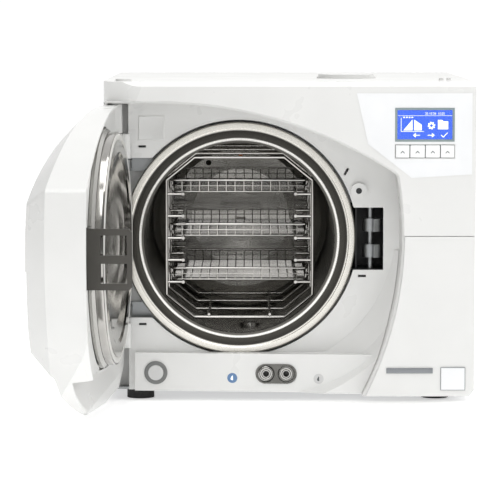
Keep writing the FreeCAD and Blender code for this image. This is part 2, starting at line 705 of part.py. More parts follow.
def panel_clearance():
    """Room that the closed door leaves for the drain panel and its button."""
    gap = 3.2
    return plate_xy([(-230, 59.3 - gap), (104, 32.7 - gap), (150, 32.7 - gap), (150, 90), (-230, 90)], 0, 67)


def make_door_cover():
    """Moulded outer shell of the door."""
    outer = door_body(DOOR_GAP, 0.0, 4.0, 16.0)
    inner = door_body(DOOR_GAP + DOOR_SHELL, DOOR_SHELL, 2.0, 11.0)
    shell = outer.cut(inner)
    for z0, z1 in ((108, 128), (301, 321)):
        shell = shell.cut(box(-260, HINGE_X + 8.5, -60, 90, z0, z1))
    for z0, z1 in ((70, 104), (318, 352)):
        shell = shell.cut(rod_z(HINGE_X, HINGE_D, 7.3, z0, z1))
        shell = shell.cut(box(HINGE_X, HINGE_X + 27, HINGE_D - 9.4, 80, z0, z1))
    shell = shell.cut(panel_clearance())
    return max(shell.Solids, key=lambda s: s.Volume)


def make_door_liner():
    """Moulded inner panel with the raised boss round the door plate."""
    x = HINGE_X + 148.0
    face = door_prism(DOOR_GAP + DOOR_SHELL + 0.3, -222.0, 66.0, HINGE_D - 13.0, HINGE_D - 10.0)
    face = face.cut(rod_y(x, AXIS_Z, 153, -50, 80))
    cone = slope_cone(-3.0 - DOOR_SHELL - 0.3)
    face = face.cut(box(30, 160, -60, 80, 0, 200).cut(cone))
    ring = tube_y(x, AXIS_Z, 156, 153, HINGE_D - 38, HINGE_D - 10)
    body = fuse([face, ring])
    groove = box(40, 200, -60, 80, 170, 296)
    groove = groove.cut(rod_y(x, AXIS_Z, 168, -70, 90))
    body = body.cut(groove)
    wall = tube_y(x, AXIS_Z, 171, 168, HINGE_D - 44, HINGE_D - 10).common(box(40, 139, -60, 80, 167, 299))
    floor = door_prism(DOOR_GAP + DOOR_SHELL + 0.3, 40.0, 167.0, HINGE_D - 47.0, HINGE_D - 44.0)
    floor = floor.cut(rod_y(x, AXIS_Z, 168, -70, 90)).cut(box(0, 200, -60, 80, 299, 500))
    ledge_low = door_prism(DOOR_GAP + DOOR_SHELL + 0.3, 60.0, 167.0, HINGE_D - 44.0, HINGE_D - 10.0)
    ledge_low = ledge_low.cut(rod_y(x, AXIS_Z, 168, -70, 90)).cut(box(0, 200, -60, 80, 170, 500))
    ledge_low = ledge_low.cut(box(30, 160, -60, 80, 0, 200).cut(cone))
    ledge_up = door_prism(DOOR_GAP + DOOR_SHELL + 0.3, 40.0, 296.0, HINGE_D - 44.0, HINGE_D - 10.0)
    ledge_up = ledge_up.cut(rod_y(x, AXIS_Z, 168, -70, 90)).cut(box(0, 200, -60, 80, 299, 500))
    body = fuse([body, wall, floor, ledge_low, ledge_up])
    limit = door_body(DOOR_GAP + DOOR_SHELL + 0.3, DOOR_SHELL + 0.3, -30.0, 20.0)
    body = body.common(limit)
    body = body.cut(box(60, 96, 30, 60, AXIS_Z - 38, AXIS_Z + 38)).cut(panel_clearance())
    for z0 in (68, 318):
        body = body.cut(box(-240, -184, 0, 80, z0, z0 + 38))
    body = body.cut(box(-240, -203, 0, 80, 108, 128)).cut(box(-240, -203, 0, 80, 301, 321))
    return max(body.Solids, key=lambda s: s.Volume)


def door_centre():
    """X of the door plate's centre when closed."""
    return HINGE_X + 148.0


def hinge_keepout():
    """Space round the fixed hinge arms that the door's metal leaves free."""
    return [box(-260, HINGE_X + 12, 0, 90, z0, z0 + 20) for z0 in (108, 301)]


def make_door_plate():
    """Stepped pressed-steel cup behind the sealing disc."""
    x = door_centre()
    h = HINGE_D
    body = spin([(0, h - 12), (128, h - 12), (128, h - 2), (146, h - 2), (150, h - 6), (150, h - 20),
                 (151.5, h - 22),
                 (152, h - 33), (149, h - 33), (148.5, h - 23), (146, h - 15), (0, h - 15)], x, AXIS_Z)
    body = body.common(door_body(DOOR_GAP + DOOR_SHELL + 0.5, DOOR_SHELL + 0.5, -30.0, 20.0))
    for z0 in (AXIS_Z + 38, AXIS_Z - 50):
        body = body.cut(box(80, 110, h - 30, h - 1, z0, z0 + 12))
    for s in hinge_keepout():
        body = body.cut(s)
    return max(body.Solids, key=lambda s: s.Volume)


def make_door_disc():
    """Polished dished disc that closes the chamber, with the seal's groove."""
    x = door_centre()
    h = HINGE_D
    profile = [(0, h + 2), (60, h + 2.6), (95, h + 4.5), (116, h + 7.5), (121, h + 9.4), (135.5, h + 9.4),
               (135.5, h + 5), (143.5, h + 5), (143.5, h + 8.4), (145.5, h + 8.0), (146, h + 6), (146,
                                                                                                  h - 1.5),
               (127, h - 1.5), (127, h - 1.8), (0, h - 1.8)]
    disc = spin(profile, x, AXIS_Z)
    post = rod_y(x, AXIS_Z, 18, h - 12, h)
    body = fuse([disc, post])
    for s in hinge_keepout():
        body = body.cut(s)
    return max(body.Solids, key=lambda s: s.Volume)


def make_door_gasket():
    """Silicone seal ring in the disc's groove."""
    h = HINGE_D
    return spin([(135.5, h + 5), (143.5, h + 5), (143.5, h + 8.6), (141, h + 9.7), (138, h + 9.7), (135.5,
                                                                                                    h + 8.6)],
                door_centre(), AXIS_Z)


def make_lock_bracket():
    """Steel plate with two windows for the cams."""
    z = AXIS_Z
    plate = plate_dz([(44, z - 37), (96, z - 37), (100, z - 33), (100, z + 33), (96, z + 37), (44, z + 37)],
                     92, 95)
    plate = plate.cut(box(90, 98, 62, 94, z + 5, z + 29)).cut(box(90, 98, 62, 94, z - 29, z - 5))
    foot = box(80, 95, 36, 46, z - 37, z + 37)
    body = fuse([plate, foot])
    x = door_centre()
    return body.cut(rod_y(x, z, 150.05, 34.9, 60)).cut(rod_y(x, z, 152.1, 20, 35))


def make_knuckles():
    """Door-side hinge knuckles on their arms."""
    out = []
    for z0, z1 in ((319, 351), (71, 103)):
        eye = rod_z(HINGE_X, HINGE_D, 6.5, z0, z1)
        arm = box(HINGE_X, HINGE_X + 26, HINGE_D - 9, HINGE_D - 3, z0, z1)
        out.append(fuse([eye, arm]).cut(rod_z(HINGE_X, HINGE_D, 3.06, z0 - 1, z1 + 1)))
    return group(out)


def make_door_frame():
    """Welded door beam that carries the cup and the knuckles."""
    h = HINGE_D
    x = door_centre()
    beam = box(x - 120, x + 120, h - 19, h - 14.5, AXIS_Z - 22, AXIS_Z + 22)
    return fuse([beam, rod_y(x, AXIS_Z, 14, h - 24, h - 14.5)])


def rack_scale():
    """Scale that keeps the hoops' corners just inside the chamber."""
    return 122.1 / math.hypot(HOOP_HALF_W, HOOP_CORNER_Z)


def hoop(d):
    """Eight-sided wire hoop lying across the chamber, with mitred corners."""
    k = rack_scale()
    w = HOOP_HALF_W * k
    h = HOOP_HALF_H * k
    c = HOOP_CORNER_Z * k
    t = 61.0 * k
    pts = [(w, c), (t, h), (-t, h), (-w, c), (-w, -c), (-t, -h), (t, -h), (w, -c)]
    y = FRONT + d
    runs = []
    for i in range(8):
        p0, a, b, p3 = [V(AXIS_X + x, y, AXIS_Z + z) for x, z in (pts[i - 1], pts[i], pts[(i + 1) % 8],
                                                                  pts[(i + 2) % 8])]
        step = b.sub(a)
        unit = V(step.x, 0, step.z).normalize()
        rod = Part.makeCylinder(WIRE / 2, step.Length + 8, a.sub(unit * 4), unit)
        for here, before, after in ((a, p0, b), (b, p3, a)):
            out = here.sub(before).normalize().sub(after.sub(here).normalize())
            normal = here.sub(after).normalize().add(before.sub(here).normalize())
            normal = V(normal.x, 0, normal.z).normalize()
            block = Part.makeBox(40, 40, 40, V(-20, -20, 0))
            block.Placement = FreeCAD.Placement(here, FreeCAD.Rotation(V(0, 0, 1), normal))
            rod = rod.cut(block)
        runs.append(rod)
    return runs


def make_rack():
    """Wire rack, eight-sided hoops joined by tray rails, each wire a solid of its own."""
    parts = []
    k = rack_scale()
    side = HOOP_HALF_W * k
    r = WIRE / 2
    depths = [RACK_FRONT + i * RACK_PITCH for i in range(4)]
    for d in depths:
        parts += hoop(d)
    for sx in (-1, 1):
        for lev in RAIL_LEVELS:
            x_in = AXIS_X + sx * (side - 22)
            parts.append(rod_y(x_in, AXIS_Z + lev, r, RACK_FRONT - 2.6, depths[-1] + 2.6))
            for d in depths:
                x0, x1 = sorted((x_in + sx * r, AXIS_X + sx * (side - r)))
                parts.append(rod_x(d, AXIS_Z + lev, 1.7, x0, x1))
        z = AXIS_Z - HOOP_HALF_H * k + r + 1.6
        parts.append(rod_y(AXIS_X + sx * 40, z, 1.6, RACK_FRONT - 2.6, depths[-1] + 2.6))
    return group(parts)


def make_tray(level):
    """Shallow tray, drawn as thin sheet with its rim rolled outwards."""
    z0 = AXIS_Z + level + WIRE / 2
    x0 = AXIS_X - TRAY_W / 2
    x1 = AXIS_X + TRAY_W / 2
    d0 = RACK_FRONT + 5
    d1 = d0 + TRAY_L
    t = 1.6
    shell = box(x0, x1, d0, d1, z0, z0 + TRAY_H).cut(box(x0 + t, x1 - t, d0 + t, d1 - t, z0 + t,
                                                         z0 + TRAY_H + 1))
    rim = box(x0, x1, d0, d1, z0 + TRAY_H - 3, z0 + TRAY_H).cut(box(x0 + 3, x1 - 3, d0 + 3, d1 - 3, z0,
                                                                    z0 + 40))
    return fuse([shell, rim])


OVERLAY = ((87.0, 405.5), (235.0, 405.5), (235.0, 301.5), (157.5, 297.0), (101.5, 340.5))
DISPLAY = (136.0, 212.5, 343.5, 387.0)
KEY_X = (135.5, 155.1, 174.8, 194.2, 213.6)
KEY_Z = (321.5, 340.5)


def make_overlay():
    """Thin label panel carrying the display and the keys."""
    panel = plate_xz(OVERLAY, -0.8, 0.0)
    x0, x1, z0, z1 = DISPLAY
    panel = panel.cut(box(x0, x1, -2, 2, z0, z1))
    return panel.cut(box(KEY_X[0], KEY_X[4], -2, 2, KEY_Z[0], KEY_Z[1]))


def front_holes():
    """Holes through the fascia for the display, the keys and their backs."""
    x0, x1, z0, z1 = DISPLAY
    holes = box(x0 + 1.5, x1 - 1.5, -2, 8, z0 + 1.5, z1 - 1.5)
    return [holes, box(KEY_X[0] + 1, KEY_X[4] - 1, -2, 8, KEY_Z[0] + 1, KEY_Z[1] - 1)]


def make_bezel():
    """Frame round the display."""
    x0, x1, z0, z1 = DISPLAY
    frame = box(x0 + 0.2, x1 - 0.2, -1.2, 0, z0 + 0.2, z1 - 0.2)
    return frame.cut(box(x0 + 3, x1 - 3, -2, 2, z0 + 3, z1 - 3))


def make_glass():
    """Display window."""
    x0, x1, z0, z1 = DISPLAY
    return box(x0 + 3.1, x1 - 3.1, -0.9, 0.3, z0 + 3.1, z1 - 3.1)


def make_display():
    """Display module behind its window."""
    x0, x1, z0, z1 = DISPLAY
    return box(x0 + 3.1, x1 - 3.1, 0.4, 8, z0 + 3.1, z1 - 3.1)


def make_key(i):
    """Push key with a flanged back."""
    x0 = KEY_X[i] + 0.5
    x1 = KEY_X[i + 1] - 0.5
    z0, z1 = KEY_Z
    cap = box(x0, x1, -1.9, 5.5, z0 + 1.6, z1 - 1.6)
    if i == 0:
        cap = cap.cut(box(x0 - 1, x0 + 1.0, -3, 7, z0, z1))
    if i == 3:
        cap = cap.cut(box(x1 - 1.0, x1 + 1, -3, 7, z0, z1))
    return cap


def make_button():
    """Round power button."""
    x, z = BUTTON
    f = panel_face(x)
    return fuse([rod_y(x, z, 10, f - 2.4, f + 7), rod_y(x, z, 6, f + 7, f + 10.5)])


def make_button_ring():
    """Switch body and ring of the power button."""
    x, z = BUTTON
    f = panel_face(x)
    ring = tube_y(x, z, 13.6, 10.4, f - 1.6, f + 12)
    flange = tube_y(x, z, 15.2, 13.0, f - 6, f + 6).common(panel_skin(1.4))
    back = tube_y(x, z, 13.6, 6.3, f + 10.2, f + 12)
    return fuse([ring, flange, back])


def panel_skin(thick):
    """Thin slanting slab that lies on the drain panel's face."""
    return plate_xy([(-201, 57 - thick), (100, 33 - thick), (100, 33), (-201, 57)], 0, 90)


def make_drain_bezel():
    """Dark oval plate round the two drain couplings, seated on the slanting panel."""
    f = panel_face(-16)
    xa = PORTS[0][0] - 1
    xb = PORTS[1][0] + 1
    z = PORTS[0][1]
    plate = fuse([rod_y(xa, z, 12.8, f - 6, f + 6), rod_y(xb, z, 12.8, f - 6, f + 6),
                  box(xa, xb, f - 6, f + 6, z - 12.8, z + 12.8)])
    plate = plate.common(panel_skin(1.4))
    for x, zz in PORTS:
        plate = plate.cut(rod_y(x, zz, 11.2, 20, 80))
    return plate


def make_couplings():
    """Two plated quick couplings for draining the tanks."""
    out = []
    for x, z in PORTS:
        f = panel_face(-16) - 1.0
        body = spin([(4, f), (9, f), (10.6, f + 1.6), (10.6, f + 6), (11, f + 7), (11, f + 26), (4, f + 26)], x, z)
        out.append(body)
    return group(out)


def make_boss():
    """Raised sensor boss on the pocket floor."""
    x, z = BOSS
    return tube_y(x, z, 10.4, 4.0, FLOOR_D - 5, FLOOR_D + 10)


def make_sensor_pin():
    """Door-closed sensor pin in its boss."""
    x, z = BOSS
    return fuse([rod_y(x, z, 3.9, FLOOR_D - 3.6, FLOOR_D + 14), rod_y(x, z, 6.0, FLOOR_D + 14, FLOOR_D + 16)])


def make_filler_cap():
    """Round cap over the clean water filler."""
    z = HEIGHT + 2
    cap = fuse([rod_z(80, 200, 38, z, z + 3.5), tube_z(80, 200, 32, 29, z - 8, z)])
    return cap.cut(box(60, 100, 198.5, 201.5, z + 2.5, z + 5))


def make_feet():
    """Four rubber feet."""
    return group([rod_z(x, d, 18, 0, FOOT_H) for x in (-195, 195) for d in (100, 490)])


def make_flange_bolts():
    """Bolts that hold the bulkhead ring to the chamber flange."""
    out = []
    for k in range(6):
        a = math.radians(30 + 60 * k)
        out.append(rod_y(AXIS_X + 139 * math.cos(a), AXIS_Z + 139 * math.sin(a), 4, FLANGE_D + FLANGE_T,
                         BULKHEAD_D))
    return group(out)


def make_nameplate():
    """Blank nameplate bar and rounded badge on the lower right cover."""
    bar = box(126, 186, -1.0, 0.4, 44, 51)
    badge = box(196, 228, -1.0, 0.4, 22, 52)
    return group([bar, badge])


def main():
    """Build every sub-part and write it out."""
    fascia = fuse([make_fascia(), make_boss(), rod_z(-214, 46, 10.5, HEIGHT - 1, HEIGHT + 3)])
    for hole in front_holes():
        fascia = fascia.cut(hole)
    export("front_fascia", fascia)
    export("lower_right_cover", make_lower_cover())
    export("drain_panel", make_drain_panel())
    export("cabinet_cover", make_cover())
    export("base_pan", make_base())
    export("bulkhead", make_bulkhead())
    export("rear_panel", make_rear())
    export("feet", make_feet())
    export("chamber_vessel", make_chamber())
    export("chamber_flange", fuse([make_flange()] + make_flange_bolts().Solids))
    export("drain_strainer", make_strainer())
    export("band_heaters", make_heater())
    export("chamber_insulation", make_insulation())
    export("lock_housing", make_lock_housing())
    export("lock_motor", make_lock_motor())
    export("lock_rotor", make_lock_rotor())
    arms = make_hinge_bracket().Solids
    pins = make_hinge_pins().Solids
    export("hinge_bracket", group([fuse([arms[0], pins[0]]), fuse([arms[1], pins[1]])]))
    export("steam_generator", make_steam_generator())
    export("vacuum_pump", make_vacuum_pump())
    export("water_pump", make_water_pump())
    export("clean_water_tank", make_clean_tank())
    export("used_water_tank", make_used_tank())
    export("condenser", make_condenser())
    export("fan_housing", make_fan_housing())
    export("fan_rotor", make_fan_rotor())
    export("fan_grille", make_grille())
    export("power_inlet", make_inlet())
    export("main_board", make_board(98, 200, 120, 190, 300, [(120, 140, 20, 20, 18), (165, 150, 40, 24, 25)]))
    export("power_supply", box(160, 225, 440, 520, 190, 280))
    export("front_board", make_front_board())
    export("valve_block", make_valves())
    export("steam_pipes", make_pipes())
    export("safety_valve", make_safety_valve())
    export("control_overlay", make_overlay())
    export("display_bezel", make_bezel())
    export("display_glass", make_glass())
    export("display_module", make_display())
    for i in range(4):
        export("key_" + str(i + 1), make_key(i))
    export("power_button", make_button())
    export("button_ring", make_button_ring())
    export("drain_bezel", make_drain_bezel())
    export("drain_couplings", make_couplings())
    export("sensor_pin", make_sensor_pin())
    export("filler_cap", make_filler_cap())
    export("nameplate", make_nameplate())
    export("rack", make_rack())
    export("tray_upper", make_tray(TRAY_LEVELS[0]))
    export("tray_middle", make_tray(TRAY_LEVELS[1]))
    export("tray_lower", make_tray(TRAY_LEVELS[2]))
    door = {
        "door_cover": make_door_cover(),
        "door_liner": make_door_liner(),
        "door_plate": fuse([make_door_plate(), make_door_frame()]),
        "door_disc": make_door_disc(),
        "door_gasket": make_door_gasket(),
        "door_lock_bracket": make_lock_bracket(),
        "door_knuckles": make_knuckles(),
    }
    for name, shape in door.items():
        shape.rotate(V(HINGE_X, FRONT + HINGE_D, 0), V(0, 0, 1), -DOOR_OPEN_DEG)
        export(name, shape)


main()
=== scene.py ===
"""Benchtop autoclave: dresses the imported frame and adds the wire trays, controls and small fittings."""
from __future__ import annotations

import json
import logging
import math
from dataclasses import dataclass, field
from enum import Enum
from typing import Iterable, Sequence

import bpy
from mathutils import Matrix, Vector

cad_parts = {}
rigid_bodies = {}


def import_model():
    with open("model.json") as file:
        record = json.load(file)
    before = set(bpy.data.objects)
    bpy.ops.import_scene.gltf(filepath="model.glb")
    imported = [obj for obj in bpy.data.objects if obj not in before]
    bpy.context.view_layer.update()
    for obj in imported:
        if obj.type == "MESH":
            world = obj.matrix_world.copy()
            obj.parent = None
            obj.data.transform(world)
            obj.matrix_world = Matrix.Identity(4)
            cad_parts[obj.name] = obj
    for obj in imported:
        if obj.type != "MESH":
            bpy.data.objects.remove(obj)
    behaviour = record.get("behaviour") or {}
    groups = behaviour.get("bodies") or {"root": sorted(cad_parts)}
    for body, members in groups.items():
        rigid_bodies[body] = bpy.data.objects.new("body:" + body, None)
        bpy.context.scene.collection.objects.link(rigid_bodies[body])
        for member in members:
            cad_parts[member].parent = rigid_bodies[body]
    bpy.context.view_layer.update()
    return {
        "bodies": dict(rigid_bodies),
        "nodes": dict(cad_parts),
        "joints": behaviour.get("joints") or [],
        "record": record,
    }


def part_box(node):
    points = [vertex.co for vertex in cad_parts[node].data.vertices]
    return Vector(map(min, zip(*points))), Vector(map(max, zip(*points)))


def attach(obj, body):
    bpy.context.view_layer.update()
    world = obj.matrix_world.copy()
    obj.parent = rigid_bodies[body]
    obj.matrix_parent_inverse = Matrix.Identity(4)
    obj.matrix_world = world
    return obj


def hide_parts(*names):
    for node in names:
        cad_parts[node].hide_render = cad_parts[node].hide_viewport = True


LOG = logging.getLogger("autoclave")
MM = 0.001


class Surface(Enum):
    """How a surface was made, which decides its pattern."""

    MOULDED = "moulded"
    PAINTED = "painted"
    BRUSHED = "brushed"
    TURNED = "turned"
    POLISHED = "polished"
    CAST = "cast"
    WOVEN = "woven"
    CLEAR = "clear"
    LIT = "lit"


def linear(hex_colour: str) -> tuple[float, float, float, float]:
    """Turn an sRGB hex colour into linear light.

    Args:
        hex_colour: six hex digits, with or without a leading hash.

    Returns:
        Red, green, blue and alpha in linear light.
    """
    digits = hex_colour.lstrip("#")
    parts = [int(digits[i:i + 2], 16) / 255.0 for i in (0, 2, 4)]
    out = [p / 12.92 if p <= 0.04045 else ((p + 0.055) / 1.055) ** 2.4 for p in parts]
    return out[0], out[1], out[2], 1.0


def add_node(tree: bpy.types.NodeTree, kind: str, settings: dict | None = None,
             links: dict | None = None) -> bpy.types.Node:
    """Add one shader node, set it and link its inputs.

    Args:
        tree: node tree to add to.
        kind: node type's identifier.
        settings: attribute or input names and their values.
        links: input name or number mapped to the output socket that feeds it.

    Returns:
        The new node.
    """
    node = tree.nodes.new(kind)
    for key, value in (settings or {}).items():
        if isinstance(key, int) or key in node.inputs:
            node.inputs[key].default_value = value
        else:
            setattr(node, key, value)
    for key, source in (links or {}).items():
        tree.links.new(source, node.inputs[key])
    return node


@dataclass(frozen=True)
class Finish:
    """One finish of the object: its colours, gloss and the grain of its surface."""

    name: str
    surface: Surface
    colour: str
    shade: str
    roughness: float
    metallic: float = 0.0
    grain_mm: float = 1.0
    relief_mm: float = 0.02
    coat: float = 0.0
    ior: float = 1.5
    centre_mm: tuple[float, float] = (-64.0, 214.0)
    bands: tuple[tuple[float, str], ...] = ()
    band_reach_mm: float = 160.0

    def build(self) -> bpy.types.Material:
        """Make the material's nodes.

        Returns:
            The finished material.
        """
        mat = bpy.data.materials.new(self.name)
        mat.use_nodes = True
        tree = mat.node_tree
        tree.nodes.clear()
        out = add_node(tree, "ShaderNodeOutputMaterial")
        shader = add_node(tree, "ShaderNodeBsdfPrincipled")
        shader.inputs["Metallic"].default_value = self.metallic
        shader.inputs["Roughness"].default_value = self.roughness
        if self.metallic < 0.5:
            shader.inputs["IOR"].default_value = self.ior
        if self.coat > 0:
            shader.inputs["Coat Weight"].default_value = self.coat
            shader.inputs["Coat Roughness"].default_value = 0.08
        tree.links.new(shader.outputs[0], out.inputs[0])
        where = add_node(tree, "ShaderNodeTexCoord").outputs["Object"]
        if self.surface is Surface.CLEAR:
            shader.inputs["Base Color"].default_value = linear(self.colour)
            shader.inputs["Transmission Weight"].default_value = 1.0
            return mat
        pattern = self.pattern(tree, where)
        ramp = add_node(tree, "ShaderNodeMix", {"data_type": "RGBA"}, {0: pattern})
        ramp.inputs[6].default_value = linear(self.colour)
        ramp.inputs[7].default_value = linear(self.shade)
        colour = self.banded(tree, where, ramp.outputs[2]) if self.bands else ramp.outputs[2]
        tree.links.new(colour, shader.inputs["Base Color"])
        rough = add_node(tree, "ShaderNodeMapRange", {"To Min": self.roughness * 0.85,
                                                      "To Max": self.roughness * 1.2},
                         {"Value": pattern})
        tree.links.new(rough.outputs[0], shader.inputs["Roughness"])
        bump = add_node(tree, "ShaderNodeBump", {"Strength": 0.5, "Distance": self.relief_mm * MM},
                        {"Height": self.relief(tree, where)})
        tree.links.new(bump.outputs[0], shader.inputs["Normal"])
        if self.surface is Surface.LIT:
            shader.inputs["Emission Color"].default_value = linear(self.colour)
            shader.inputs["Emission Strength"].default_value = 0.55
        return mat

    def pattern(self, tree: bpy.types.NodeTree, where: bpy.types.NodeSocket) -> bpy.types.NodeSocket:
        """Colour pattern of the surface, from 0 to 1.

        Args:
            tree: node tree to add to.
            where: object coordinates in metres.

        Returns:
            The pattern's output socket.
        """
        if self.surface is Surface.TURNED:
            return self.turned(tree, where)
        if self.surface is Surface.BRUSHED:
            stretched = add_node(tree, "ShaderNodeMapping", {"Scale": (1.0, 0.03, 1.0)}, {"Vector": where})
            noise = add_node(tree, "ShaderNodeTexNoise", {"Scale": 1.0 / (self.grain_mm * MM), "Detail": 4.0},
                             {"Vector": stretched.outputs[0]})
            return noise.outputs["Fac"]
        noise = add_node(tree, "ShaderNodeTexNoise", {"Scale": 1.0 / (60 * MM), "Detail": 3.0},
                         {"Vector": where})
        soft = add_node(tree, "ShaderNodeMapRange", {"From Min": 0.35, "From Max": 0.65},
                        {"Value": noise.outputs["Fac"]})
        return soft.outputs[0]

    def banded(self, tree: bpy.types.NodeTree, where: bpy.types.NodeSocket,
               colour: bpy.types.NodeSocket) -> bpy.types.NodeSocket:
        """Tint broad rings, where the turned face changes from satin to mirror and back.

        Args:
            tree: node tree to add to.
            where: object coordinates in metres.
            colour: colour of the surface with no bands.

        Returns:
            The tinted colour's output socket.
        """
        share = add_node(tree, "ShaderNodeMapRange", {"From Max": self.band_reach_mm * MM},
                         {"Value": self.radius(tree, where)})
        ring = add_node(tree, "ShaderNodeValToRGB", {}, {"Fac": share.outputs[0]})
        stops = ring.color_ramp.elements
        stops[0].position, stops[0].color = self.bands[0][0] / self.band_reach_mm, linear(self.bands[0][1])
        stops[1].position, stops[1].color = self.bands[-1][0] / self.band_reach_mm, linear(self.bands[-1][1])
        for radius, tint in self.bands[1:-1]:
            stops.new(radius / self.band_reach_mm).color = linear(tint)
        mix = add_node(tree, "ShaderNodeMix", {"data_type": "RGBA", "blend_type": "MULTIPLY", 0: 1.0})
        tree.links.new(colour, mix.inputs[6])
        tree.links.new(ring.outputs[0], mix.inputs[7])
        return mix.outputs[2]

    def radius(self, tree: bpy.types.NodeTree, where: bpy.types.NodeSocket) -> bpy.types.NodeSocket:
        """Distance from the front-to-back axis, in metres.

        Args:
            tree: node tree to add to.
            where: object coordinates in metres.

        Returns:
            The distance's output socket.
        """
        shift = (-self.centre_mm[0] * MM, 0.0, -self.centre_mm[1] * MM)
        moved = add_node(tree, "ShaderNodeVectorMath", {"operation": "ADD"}, {0: where})
        moved.inputs[1].default_value = shift
        flat = add_node(tree, "ShaderNodeVectorMath", {"operation": "MULTIPLY"}, {0: moved.outputs[0]})
        flat.inputs[1].default_value = (1.0, 0.0, 1.0)
        return add_node(tree, "ShaderNodeVectorMath", {"operation": "LENGTH"},
                        {0: flat.outputs[0]}).outputs["Value"]

    def turned(self, tree: bpy.types.NodeTree, where: bpy.types.NodeSocket) -> bpy.types.NodeSocket:
        """Fine lathe rings about a front-to-back axis.

        Args:
            tree: node tree to add to.
            where: object coordinates in metres.

        Returns:
            The ring pattern's output socket.
        """
        line = add_node(tree, "ShaderNodeCombineXYZ", {}, {"X": self.radius(tree, where)})
        noise = add_node(tree, "ShaderNodeTexNoise", {"Scale": 1.0 / (self.grain_mm * MM), "Detail": 3.0},
                         {"Vector": line.outputs[0]})
        return noise.outputs["Fac"]

    def relief(self, tree: bpy.types.NodeTree, where: bpy.types.NodeSocket) -> bpy.types.NodeSocket:
        """Height pattern for the bump.

        Args:
            tree: node tree to add to.
            where: object coordinates in metres.

        Returns:
            The height's output socket.
        """
        if self.surface is Surface.WOVEN:
            wave = add_node(tree, "ShaderNodeTexWave", {"Scale": 1.0 / (self.grain_mm * 6 * MM)},
                            {"Vector": where})
            return wave.outputs["Fac"]
        if self.surface is Surface.TURNED:
            return self.turned(tree, where)
        detail = 6.0 if self.surface is Surface.CAST else 2.0
        noise = add_node(tree, "ShaderNodeTexNoise", {"Scale": 1.0 / (self.grain_mm * MM), "Detail": detail},
                         {"Vector": where})
        return noise.outputs["Fac"]


